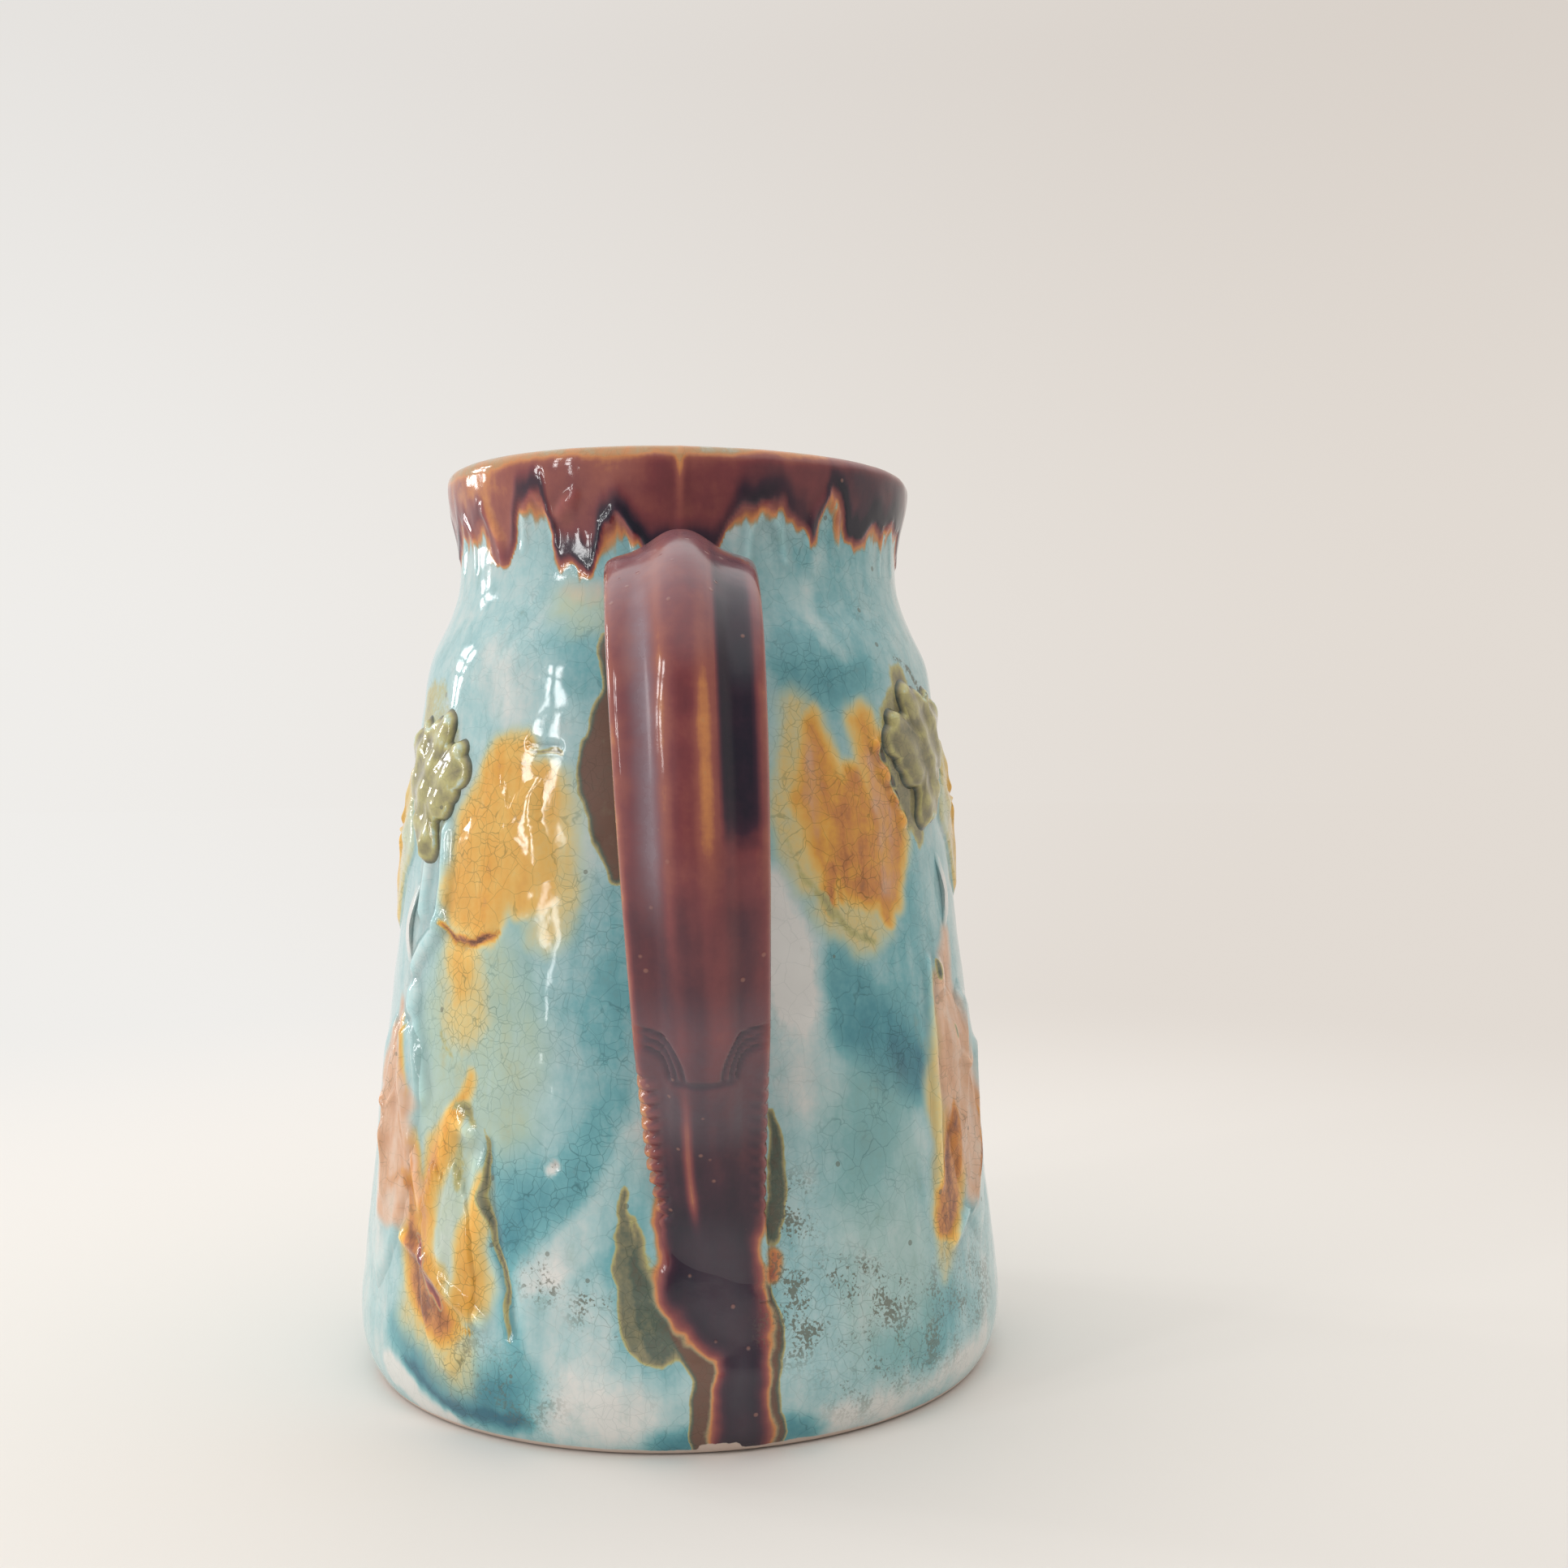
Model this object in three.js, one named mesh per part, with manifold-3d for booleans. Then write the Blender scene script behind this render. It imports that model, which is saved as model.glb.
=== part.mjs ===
// Moulded stoneware pitcher with applied vine ornament.
// Two pressed wall halves are luted along the plane of handle and lip. A base disc is set into the foot.
// A ribbed strap handle and pressed clay sprigs are luted on the outside of the wall.
// Millimetres, +Z up. The origin is the middle of the underside. The handle is toward -Y, the lip toward +Y.
import * as THREE from "three";
import { mergeVertices } from "three/addons/utils/BufferGeometryUtils.js";
import Module from "manifold-3d";

const wasm = await Module();
wasm.setup();

// Wall, stacked from the foot up
const FOOT_RADIUS = 69.5;
const FOOT_CURVE = 17; // height of the rounded foot
const BELLY_RADIUS = 73.5;
const CONE_LENGTH = 135; // straight wall from belly to shoulder
const SHOULDER_RADIUS = 58;
const SHOULDER_LENGTH = 28;
const NECK_RADIUS = 50;
const FLARE_LENGTH = 17.4; // neck to the start of the rounded rim
const RIM_RADIUS = 52.5;
const RIM_THICKNESS = 5.2;
const WALL = 6;

// Foot ring and base disc
const FOOT_WIDTH = 8; // standing ring of the wall
const FLOOR = 8; // thickness of the base disc
const FLOOR_CORNER = 12; // inside round between floor and wall
const DISC_CHAMFER = 0.8;

// Pouring lip
const LIP_REACH = 11;
const LIP_RISE = 3;
const LIP_HALF_WIDTH = 25; // along the rim, from the middle of the lip
const LIP_DEPTH = 34; // how far down the neck the lip is pulled
const LIP_PINCH = 1.6; // inward press beside the lip

// Strap handle
const HANDLE_DROP = 30; // rim top to the middle of the upper joint
const HANDLE_RISE = 2.5; // crest over the upper joint
const HANDLE_REACH = 36; // outermost strap middle beyond the wall
const HANDLE_END_HEIGHT = 30; // lower tip over the foot
const HANDLE_TAIL = 30; // length of strap that lies on the wall
const HANDLE_SKEW = 5; // lower tip to the right of the upper joint
const STRAP_WIDTH_TOP = 30;
const STRAP_WIDTH_END = 21.5;
const STRAP_THICKNESS = 8;
const STRAP_TIP_THICKNESS = 5;
const RIB_HEIGHT = 4.5;
const RIB_HALF_WIDTH = 8;

// Ornament, low pads of pressed clay
const VINE_ANGLE = 65; // degrees from the handle to the stem and lower leaf
const BUNCH_ANGLE = 60; // degrees from the handle to the bunch
const VINE_FOOT = 20; // foot to the lowest tip of the left vine
const VINE_RIGHT_LIFT = 6; // the right vine was set a little higher
const GRAPE_WIDTH = 8.8; // on the wall
const GRAPE_RELIEF = 3;
const GRAPE_OVERLAP = 1.4; // neighbours press into one another
const GRAPE_ROWS = [3, 4, 3, 2, 1]; // grapes in each row from the top
const STEM_WIDTH = 5.5;
const STEM_LENGTH = 20;
const STEM_BOW = 3.5; // how far the stem bows sideways
const UPPER_LEAF_WIDTH = 37;
const UPPER_LEAF_LENGTH = 46;
const FRONT_LEAF_WIDTH = 34;
const FRONT_LEAF_LENGTH = 42;
const LOWER_LEAF_WIDTH = 31;
const LOWER_LEAF_LENGTH = 68;
const BASAL_LEAF_WIDTH = 19;
const BASAL_LEAF_LENGTH = 48;
const LEAF_SET = 4; // middle of the upper leaves over the lowest grape
const LEAF_TILT = 8; // degrees
const LEAF_EDGE = 0.7; // height of a leaf's border over its back
const LEAF_DOME = 1.5; // swelling between border and middle
const LEAF_VEIN = 0.7; // veins over the swelling
const SPRIG_SPACING = 2.5; // clear wall between neighbouring sprigs
const LEAF_TUCK = 8; // how far the upper leaves reach in beside the narrowing bunch

// Clearances between luted pieces
const LUTE_GAP = 0.3;

// Fineness of curved surfaces
const AROUND = 64;
const CURVE_STEPS = 5;
const RIM_STEPS = 4;
const STRAP_STATIONS = 30;
const STRAP_SIDES = 24;
const LEAF_AROUND = 30;
const LEAF_RINGS = 8;
const GRAPE_DETAIL = 1;
const STEM_STEPS = 10;
const MERGE_DISTANCE = 1e-4;

// Heights that follow from the stack
const BELLY_Z = FOOT_CURVE;
const SHOULDER_Z = BELLY_Z + CONE_LENGTH;
const NECK_Z = SHOULDER_Z + SHOULDER_LENGTH;
const RIM_Z = NECK_Z + FLARE_LENGTH;
const TOP_Z = RIM_Z + RIM_THICKNESS / 2;
const SEAT_RADIUS = FOOT_RADIUS - FOOT_WIDTH;

// Outside of the wall, foot to rim
const CONE_SLOPE = (SHOULDER_RADIUS - BELLY_RADIUS) / CONE_LENGTH;
const outerPath = new THREE.Path();
outerPath.moveTo(FOOT_RADIUS, 0);
outerPath.quadraticCurveTo(BELLY_RADIUS - CONE_SLOPE * FOOT_CURVE * 0.6, FOOT_CURVE * 0.4, BELLY_RADIUS, BELLY_Z);
outerPath.lineTo(SHOULDER_RADIUS, SHOULDER_Z);
outerPath.bezierCurveTo(
  SHOULDER_RADIUS + CONE_SLOPE * SHOULDER_LENGTH * 0.4,
  SHOULDER_Z + SHOULDER_LENGTH * 0.4,
  NECK_RADIUS,
  NECK_Z - SHOULDER_LENGTH * 0.5,
  NECK_RADIUS,
  NECK_Z,
);
outerPath.bezierCurveTo(
  NECK_RADIUS,
  NECK_Z + FLARE_LENGTH * 0.4,
  RIM_RADIUS,
  RIM_Z - FLARE_LENGTH * 0.4,
  RIM_RADIUS,
  RIM_Z,
);
const outerProfile = outerPath.getPoints(CURVE_STEPS);

function wallRadius(height) {
  const last = outerProfile.length - 1;
  let i = 1;
  while (i < last && outerProfile[i].y < height) i += 1;
  const low = outerProfile[i - 1];
  const high = outerProfile[i];
  const share = THREE.MathUtils.clamp((height - low.y) / (high.y - low.y), 0, 1);
  return THREE.MathUtils.lerp(low.x, high.x, share);
}

function innerRadius(height) {
  const thinning = THREE.MathUtils.smoothstep(height, NECK_Z, RIM_Z);
  return wallRadius(height) - THREE.MathUtils.lerp(WALL, RIM_THICKNESS, thinning);
}

// Solids and meshes
function solidOf(geometry) {
  geometry.deleteAttribute("normal");
  geometry.deleteAttribute("uv");
  const merged = mergeVertices(geometry, MERGE_DISTANCE);
  const vertProperties = new Float32Array(merged.getAttribute("position").array);
  const triVerts = new Uint32Array(merged.getIndex().array);
  return new wasm.Manifold(new wasm.Mesh({ numProp: 3, vertProperties, triVerts }));
}

function geometryOf(solid) {
  const mesh = solid.getMesh();
  const geometry = new THREE.BufferGeometry();
  geometry.setAttribute("position", new THREE.BufferAttribute(mesh.vertProperties, 3));
  geometry.setIndex(new THREE.BufferAttribute(mesh.triVerts, 1));
  geometry.computeVertexNormals();
  return geometry;
}

function meshOf(name, geometry, look) {
  const mesh = new THREE.Mesh(geometry, new THREE.MeshStandardMaterial(look));
  mesh.name = name;
  return mesh;
}

function turned(profile) {
  return new THREE.LatheGeometry(profile, AROUND).rotateX(Math.PI / 2);
}

function blockOf(low, high) {
  const size = new THREE.Vector3().subVectors(high, low);
  const middle = new THREE.Vector3().addVectors(low, high).multiplyScalar(0.5);
  return solidOf(new THREE.BoxGeometry(size.x, size.y, size.z).translate(middle.x, middle.y, middle.z));
}

function flipped(geometry) {
  const order = geometry.getIndex();
  for (let i = 0; i < order.count; i += 3) {
    const second = order.getX(i + 1);
    order.setX(i + 1, order.getX(i + 2));
    order.setX(i + 2, second);
  }
  return geometry;
}

// Looks
const turquoiseGlaze = { color: 0x86b3b8, roughness: 0.2, metalness: 0 };
const manganeseGlaze = { color: 0x4a2b33, roughness: 0.18, metalness: 0 };
const amberGlaze = { color: 0xc9873c, roughness: 0.22, metalness: 0 };
const oliveGlaze = { color: 0x767347, roughness: 0.25, metalness: 0 };
const bareClay = { color: 0xc9b5a5, roughness: 0.8, metalness: 0 };

// Wall with the lip pulled in its rim
function wallProfile() {
  const inner = outerProfile.filter((point) => point.y > FLOOR + FLOOR_CORNER && point.y < RIM_Z);
  const cornerTop = FLOOR + FLOOR_CORNER;
  const path = new THREE.Path(outerProfile);
  path.absarc(RIM_RADIUS - RIM_THICKNESS / 2, RIM_Z, RIM_THICKNESS / 2, 0, Math.PI);
  for (const point of inner.reverse()) path.lineTo(innerRadius(point.y), point.y);
  path.lineTo(innerRadius(cornerTop), cornerTop);
  path.quadraticCurveTo(innerRadius(FLOOR), FLOOR, SEAT_RADIUS, FLOOR);
  path.lineTo(SEAT_RADIUS, 0);
  path.lineTo(FOOT_RADIUS, 0);
  return path.getPoints(RIM_STEPS);
}

function swell(share) {
  return Math.abs(share) < 1 ? Math.cos((share * Math.PI) / 2) ** 2 : 0;
}

function pullLip(geometry) {
  const position = geometry.getAttribute("position");
  for (let i = 0; i < position.count; i += 1) {
    const radius = Math.hypot(position.getX(i), position.getY(i));
    const angle = Math.atan2(position.getX(i), position.getY(i));
    const along = Math.abs(angle) * RIM_RADIUS;
    const rise = THREE.MathUtils.smoothstep(position.getZ(i), TOP_Z - LIP_DEPTH, TOP_Z) ** 2;
    const pull = swell(along / LIP_HALF_WIDTH) * rise;
    const pinch = swell((along - LIP_HALF_WIDTH) / (LIP_HALF_WIDTH / 2)) * rise;
    const moved = radius + LIP_REACH * pull - LIP_PINCH * pinch;
    position.setXYZ(i, moved * Math.sin(angle), moved * Math.cos(angle), position.getZ(i) + LIP_RISE * pull);
  }
  return geometry;
}

const wall = solidOf(pullLip(turned(wallProfile())));
const reach = Math.max(FOOT_RADIUS, BELLY_RADIUS, SHOULDER_RADIUS, NECK_RADIUS, RIM_RADIUS) + LIP_REACH;
const skyZ = TOP_Z + LIP_RISE + WALL;
const leftSpace = blockOf(new THREE.Vector3(-reach, -reach, -WALL), new THREE.Vector3(-LUTE_GAP / 2, reach, skyZ));
const rightSpace = blockOf(new THREE.Vector3(LUTE_GAP / 2, -reach, -WALL), new THREE.Vector3(reach, reach, skyZ));
const bodyHalfLeft = meshOf("body_half_left", geometryOf(wall.intersect(leftSpace)), turquoiseGlaze);
const bodyHalfRight = meshOf("body_half_right", geometryOf(wall.intersect(rightSpace)), turquoiseGlaze);

// Base disc, flush with the foot below and with the inside round above
const discRadius = SEAT_RADIUS - LUTE_GAP;
const discProfile = [
  new THREE.Vector2(0, 0),
  new THREE.Vector2(discRadius - DISC_CHAMFER, 0),
  new THREE.Vector2(discRadius, DISC_CHAMFER),
  new THREE.Vector2(discRadius, FLOOR),
  new THREE.Vector2(0, FLOOR),
];
const baseDisc = meshOf("base_disc", turned(discProfile), bareClay);

// Everything inside this skin is kept clear by the pieces luted on the outside
const skinProfile = [
  new THREE.Vector2(0, -WALL),
  new THREE.Vector2(FOOT_RADIUS + LUTE_GAP, -WALL),
  ...outerProfile.map((point) => new THREE.Vector2(point.x + LUTE_GAP, point.y)),
  new THREE.Vector2(0, RIM_Z),
];
const skin = solidOf(turned(skinProfile));

// Strap handle, lofted along a curve that leans a little to the right
const upperZ = TOP_Z - HANDLE_DROP;
const tailZ = HANDLE_END_HEIGHT + HANDLE_TAIL;
const bendZ = THREE.MathUtils.lerp(tailZ, upperZ, 0.25);
const outZ = THREE.MathUtils.lerp(tailZ, upperZ, 0.68);

function beyondWall(height, distance) {
  const skew = (HANDLE_SKEW * (upperZ - height)) / (upperZ - HANDLE_END_HEIGHT);
  return new THREE.Vector3(skew, -wallRadius(height) - distance, height);
}

const strapLine = new THREE.CatmullRomCurve3([
  beyondWall(upperZ, -WALL),
  beyondWall(upperZ + HANDLE_RISE, HANDLE_REACH * 0.4),
  beyondWall(THREE.MathUtils.lerp(upperZ, outZ, 0.3), HANDLE_REACH * 0.92),
  beyondWall(outZ, HANDLE_REACH),
  beyondWall(bendZ, HANDLE_REACH * 0.62),
  beyondWall(tailZ, STRAP_THICKNESS * 0.6),
  beyondWall(HANDLE_END_HEIGHT, -STRAP_TIP_THICKNESS * 0.5),
]);

function rounded(value) {
  return Math.sign(value) * Math.sqrt(Math.abs(value));
}

function strapGeometry() {
  const tube = new THREE.CylinderGeometry(1, 1, 1, STRAP_SIDES, STRAP_STATIONS);
  const position = tube.getAttribute("position");
  const across = new THREE.Vector3(1, 0, 0);
  for (let i = 0; i < position.count; i += 1) {
    const along = 0.5 - position.getY(i);
    const middle = strapLine.getPointAt(along);
    const outward = new THREE.Vector3().crossVectors(strapLine.getTangentAt(along), across).normalize();
    const width = THREE.MathUtils.lerp(STRAP_WIDTH_TOP, STRAP_WIDTH_END, along);
    const thin = THREE.MathUtils.smoothstep(along, 0.7, 1);
    const thickness = THREE.MathUtils.lerp(STRAP_THICKNESS, STRAP_TIP_THICKNESS, thin);
    const rib = RIB_HEIGHT * (1 - thin);
    const side = rounded(position.getX(i)) * width * 0.5;
    const face = Math.max(position.getZ(i), 0);
    const ridge = rib * face * Math.exp(-((side / RIB_HALF_WIDTH) ** 2));
    const depth = rounded(position.getZ(i)) * thickness * 0.5 + ridge;
    const point = middle.addScaledVector(across, side).addScaledVector(outward, depth);
    position.setXYZ(i, point.x, point.y, point.z);
  }
  return tube;
}

const handleStrap = meshOf("handle_strap", geometryOf(solidOf(strapGeometry()).subtract(skin)), manganeseGlaze);

// Ornament is placed by its angle from the handle, left (-1) or right (+1), and by its height
function onWall(side, angle, height, lift) {
  const radius = wallRadius(height) + lift;
  return new THREE.Vector3(side * radius * Math.sin(angle), -radius * Math.cos(angle), height);
}

// Angle of a sprig whose border is a set distance beside the border of another one
function besideAngle(angle, widthThere, width, distance, height, direction) {
  return angle + (direction * (widthThere / 2 + distance + width / 2)) / wallRadius(height);
}

// Leaf pressed as a lobed pad and wrapped round the wall, its tip pointing down before it is turned
function leafSolid(side, leaf) {
  const pad = new THREE.SphereGeometry(1, LEAF_AROUND, LEAF_RINGS, Math.PI / 2);
  const position = pad.getAttribute("position");
  const turn = THREE.MathUtils.degToRad(leaf.tilt);
  for (let i = 0; i < position.count; i += 1) {
    const out = Math.min(Math.hypot(position.getX(i), position.getZ(i)), 1);
    const bearing = Math.atan2(position.getX(i), position.getZ(i));
    const lobe = Math.abs(Math.cos((bearing * leaf.lobes) / 2));
    const edge = out * (1 - leaf.notch * (1 - lobe));
    const across = edge * Math.sin(bearing) * leaf.width * 0.5;
    const along = -edge * Math.cos(bearing) * leaf.length * 0.5;
    const vein = LEAF_VEIN * lobe ** 8 * out * (1 - out) * 4;
    const face = position.getY(i) < 0 ? 0 : LEAF_EDGE + LEAF_DOME * (1 - out ** 2) + vein;
    const height = leaf.height + along * Math.cos(turn) + across * Math.sin(turn);
    const sideways = across * Math.cos(turn) - along * Math.sin(turn);
    const point = onWall(side, leaf.angle + sideways / wallRadius(height), height, LUTE_GAP + face);
    position.setXYZ(i, point.x, point.y, point.z);
  }
  return solidOf(side < 0 ? flipped(pad) : pad);
}

// Bunch of grapes, rows narrowing downward, each grape a round cap on the wall
const grapePitch = GRAPE_WIDTH - GRAPE_OVERLAP;
const grapeRowPitch = grapePitch * Math.sin(Math.PI / 3);
const grapeRadius = (GRAPE_WIDTH ** 2 / 4 + GRAPE_RELIEF ** 2) / (2 * GRAPE_RELIEF);
const bunchAngle = THREE.MathUtils.degToRad(BUNCH_ANGLE);
const bunchWidth = (Math.max(...GRAPE_ROWS) - 1) * grapePitch + GRAPE_WIDTH;
const bunchLength = (GRAPE_ROWS.length - 1) * grapeRowPitch + GRAPE_WIDTH;

function bunchSolid(side, middleHeight, growth) {
  let solid = null;
  GRAPE_ROWS.forEach((count, row) => {
    const height = middleHeight + ((GRAPE_ROWS.length - 1) / 2 - row) * grapeRowPitch;
    for (let i = 0; i < count; i += 1) {
      const sideways = (i - (count - 1) / 2) * grapePitch;
      const angle = bunchAngle + sideways / wallRadius(height);
      const middle = onWall(side, angle, height, LUTE_GAP + GRAPE_RELIEF - grapeRadius);
      const ball = new THREE.IcosahedronGeometry(grapeRadius + growth, GRAPE_DETAIL);
      const grape = solidOf(ball.translate(middle.x, middle.y, middle.z));
      solid = solid ? solid.add(grape) : grape;
    }
  });
  return solid;
}

// Short bowed stem between bunch and lower leaf
function stemGeometry(side, stem) {
  const line = [0, 1, 2, 3, 4].map((step) => {
    const share = step / 4;
    const height = stem.height + (0.5 - share) * STEM_LENGTH;
    const sideways = STEM_BOW * Math.sin(share * Math.PI);
    return onWall(side, stem.angle + sideways / wallRadius(height), height, LUTE_GAP);
  });
  const outline = new THREE.Shape().absarc(0, 0, STEM_WIDTH / 2, 0, Math.PI * 2);
  const rod = new THREE.ExtrudeGeometry(outline, {
    extrudePath: new THREE.CatmullRomCurve3(line),
    steps: STEM_STEPS,
    curveSegments: STEM_STEPS,
    bevelEnabled: false,
  });
  return geometryOf(solidOf(rod).subtract(skin));
}

// Vine of one side, stacked from its lowest tip: lower leaf, stem, bunch, with leaves beside the bunch
function vine(side, suffix, lift) {
  const angle = THREE.MathUtils.degToRad(VINE_ANGLE);
  const leafTop = VINE_FOOT + lift + LOWER_LEAF_LENGTH;
  const stemTop = leafTop + SPRIG_SPACING * 2 + STEM_LENGTH;
  const bunchHeight = stemTop + bunchLength / 2;
  const bunchRoom = bunchSolid(side, bunchHeight, LUTE_GAP * 2);
  const leafHeight = stemTop + LEAF_SET;
  const upperLeaf = {
    angle: besideAngle(bunchAngle, bunchWidth, UPPER_LEAF_WIDTH, -LEAF_TUCK, leafHeight, -1),
    height: leafHeight,
    width: UPPER_LEAF_WIDTH,
    length: UPPER_LEAF_LENGTH,
    lobes: 5,
    notch: 0.26,
    tilt: LEAF_TILT,
  };
  const frontLeaf = {
    angle: besideAngle(bunchAngle, bunchWidth, FRONT_LEAF_WIDTH, -LEAF_TUCK, leafHeight, 1),
    height: leafHeight,
    width: FRONT_LEAF_WIDTH,
    length: FRONT_LEAF_LENGTH,
    lobes: 5,
    notch: 0.26,
    tilt: -LEAF_TILT,
  };
  const lowerLeaf = {
    angle,
    height: VINE_FOOT + lift + LOWER_LEAF_LENGTH / 2,
    width: LOWER_LEAF_WIDTH,
    length: LOWER_LEAF_LENGTH,
    lobes: 3,
    notch: 0.22,
    tilt: 0,
  };
  const stem = { angle, height: leafTop + SPRIG_SPACING + STEM_LENGTH / 2 };
  const group = new THREE.Group();
  group.name = `vine_${suffix}`;
  group.add(
    meshOf(`grape_bunch_${suffix}`, geometryOf(bunchSolid(side, bunchHeight, 0).subtract(skin)), oliveGlaze),
    meshOf(`upper_leaf_${suffix}`, geometryOf(leafSolid(side, upperLeaf).subtract(bunchRoom)), amberGlaze),
    meshOf(`front_leaf_${suffix}`, geometryOf(leafSolid(side, frontLeaf).subtract(bunchRoom)), amberGlaze),
    meshOf(`vine_stem_${suffix}`, stemGeometry(side, stem), turquoiseGlaze),
    meshOf(`lower_leaf_${suffix}`, geometryOf(leafSolid(side, lowerLeaf)), amberGlaze),
  );
  return group;
}

const vineLeft = vine(-1, "left", 0);
const vineRight = vine(1, "right", VINE_RIGHT_LIFT);

// One more narrow leaf low on the left, between lower leaf and handle
const basalHeight = BASAL_LEAF_LENGTH / 2 + VINE_FOOT / 2;
const basalLeaf = {
  angle: besideAngle(
    THREE.MathUtils.degToRad(VINE_ANGLE),
    LOWER_LEAF_WIDTH,
    BASAL_LEAF_WIDTH,
    SPRIG_SPACING,
    basalHeight,
    -1,
  ),
  height: basalHeight,
  width: BASAL_LEAF_WIDTH,
  length: BASAL_LEAF_LENGTH,
  lobes: 1,
  notch: 0.1,
  tilt: -LEAF_TILT,
};
vineLeft.add(meshOf("basal_leaf_left", geometryOf(leafSolid(-1, basalLeaf)), amberGlaze));

const pitcher = new THREE.Group();
pitcher.name = "pitcher";
pitcher.add(bodyHalfLeft, bodyHalfRight, baseDisc, handleStrap, vineLeft, vineRight);

export default pitcher;
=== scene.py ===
"""Looks of the moulded stoneware pitcher: a running glaze over wall, strap handle and vine ornament."""
import math

import bmesh
import bpy
import numpy as np
from mathutils import Matrix, Vector, noise


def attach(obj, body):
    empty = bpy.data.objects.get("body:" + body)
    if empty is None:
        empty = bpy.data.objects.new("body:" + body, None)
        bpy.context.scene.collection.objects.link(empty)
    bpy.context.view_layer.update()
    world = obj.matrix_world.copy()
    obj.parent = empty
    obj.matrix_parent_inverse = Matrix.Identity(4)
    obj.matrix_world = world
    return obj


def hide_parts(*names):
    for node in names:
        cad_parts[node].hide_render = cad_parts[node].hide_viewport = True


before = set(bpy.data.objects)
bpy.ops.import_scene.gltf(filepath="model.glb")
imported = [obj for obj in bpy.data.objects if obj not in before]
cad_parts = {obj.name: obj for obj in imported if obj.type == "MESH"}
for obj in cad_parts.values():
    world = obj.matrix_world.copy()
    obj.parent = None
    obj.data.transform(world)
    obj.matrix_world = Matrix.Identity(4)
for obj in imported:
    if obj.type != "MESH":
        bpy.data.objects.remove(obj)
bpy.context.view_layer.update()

# Shapes are worked out in millimetres and written to meshes in metres
MM = 0.001

# Camera, from the photograph's pixels
PHOTO_SIZE = 1932
FOCAL_PX = 2160
HORIZON_PX = 922
AXIS_PX = 838
CAMERA_DISTANCE = 410.5
EYE_HEIGHT = 138
CAMERA_AZIMUTH = -0.4
CAMERA_ROLL = -0.35
SENSOR_WIDTH = 36

# Wall, stacked from the foot up
FOOT_RADIUS = 69.5
FOOT_CURVE = 17
BELLY_RADIUS = 73.5
CONE_LENGTH = 135
SHOULDER_RADIUS = 58
SHOULDER_LENGTH = 28
NECK_RADIUS = 50
FLARE_LENGTH = 17.4
RIM_RADIUS = 52.5
RIM_THICKNESS = 5.2
WALL = 6
FOOT_WIDTH = 8
FLOOR = 8
FLOOR_CORNER = 12
FOOT_ROUND = 0.8
CURVE_PULL = 0.4
GLAZE_SKIN = 0.25
WALL_CENTRE = 0.6

# Dark glaze that runs down, in millimetres
RUN_THIN = 0.4
RUN_THICK = 0.9
RUN_SWELL_Z = (20, 40)

# Pouring lip
LIP_REACH = 11
LIP_RISE = 3
LIP_HALF_WIDTH = 25
LIP_DEPTH = 34
LIP_PINCH = 1.6

# Strap handle
HANDLE_DROP = 30
HANDLE_RISE = 2.5
HANDLE_REACH = 36
HANDLE_END_HEIGHT = 30
HANDLE_TAIL = 30
HANDLE_SKEW = 5
STRAP_WIDTH_TOP = 30
STRAP_WIDTH_END = 21.5
STRAP_THICKNESS = 8
STRAP_TIP_THICKNESS = 5
RIB_HEIGHT = 4.5
RIB_HALF_WIDTH = 6.8
RIB_LOW_SHARE = 0.55
RIB_ROUNDING = 2.4
RIB_RISE_Z = (140, 172)
FLUTE_DEPTH = 0.6
FLUTE_SIDE = 8.6
FLUTE_HALF_WIDTH = 2.4
FLUTE_END_Z = (172, 150)
STRAP_TAPER = 1.6
STRAP_ROUNDING = 0.6

# Unevenness of the pressed clay: waves are rise, count, pitch and phase, lumps are rise, size and seed
WAVES = ((0.25, 2, 60, 1.1), (0.2, 3, -45, 0.6))
LUMPS = ((0.28, 16, 11), (0.07, 6, 12))
RIM_TILT = 0.009
SEAM_RIDGE = 0.3
SEAM_HALF_WIDTH = 1.1
CREST_REACH = 4
CREST_LIMIT = 0.35

# Heights that follow from the stack
BELLY_Z = FOOT_CURVE
SHOULDER_Z = BELLY_Z + CONE_LENGTH
NECK_Z = SHOULDER_Z + SHOULDER_LENGTH
RIM_Z = NECK_Z + FLARE_LENGTH
TOP_Z = RIM_Z + RIM_THICKNESS / 2
SEAT_RADIUS = FOOT_RADIUS - FOOT_WIDTH

# Fineness of the meshes
FOOT_STEPS = 24
SHOULDER_STEPS = 40
FLARE_STEPS = 30
FLOOR_STEPS = 22
CORNER_STEPS = 14
RIM_STEPS = 17
FOOT_ROUND_STEPS = 5
KNOT_STEPS = 60
SECTION_STEPS = 4000
WALL_AROUND = 660
OUTSIDE_ROWS = 264
INSIDE_ROWS = 50
STRAP_STATIONS = 260
STRAP_SIDES = 120
PAD_AROUND = 144
PAD_RINGS = 40
PAD_CENTRE = 0.02
PAD_BACK_STEPS = 6

FIELDS = ("depth", "amber", "pink", "olive", "manganese", "grime", "dust_and_sheen", "clay", "crest")


def smoothstep(low, high, value):
    share = np.clip((value - low) / (high - low), 0, 1)
    return share * share * (3 - 2 * share)


def band(value, low, high, softness):
    rise = smoothstep(low - softness, low + softness, value)
    return rise * smoothstep(high + softness, high - softness, value)


def bell(value, middle, half_width):
    return np.exp(-(((value - middle) / half_width) ** 2))


def toward(value, target, share):
    return value + (target - value) * np.clip(share, 0, 1)


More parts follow.
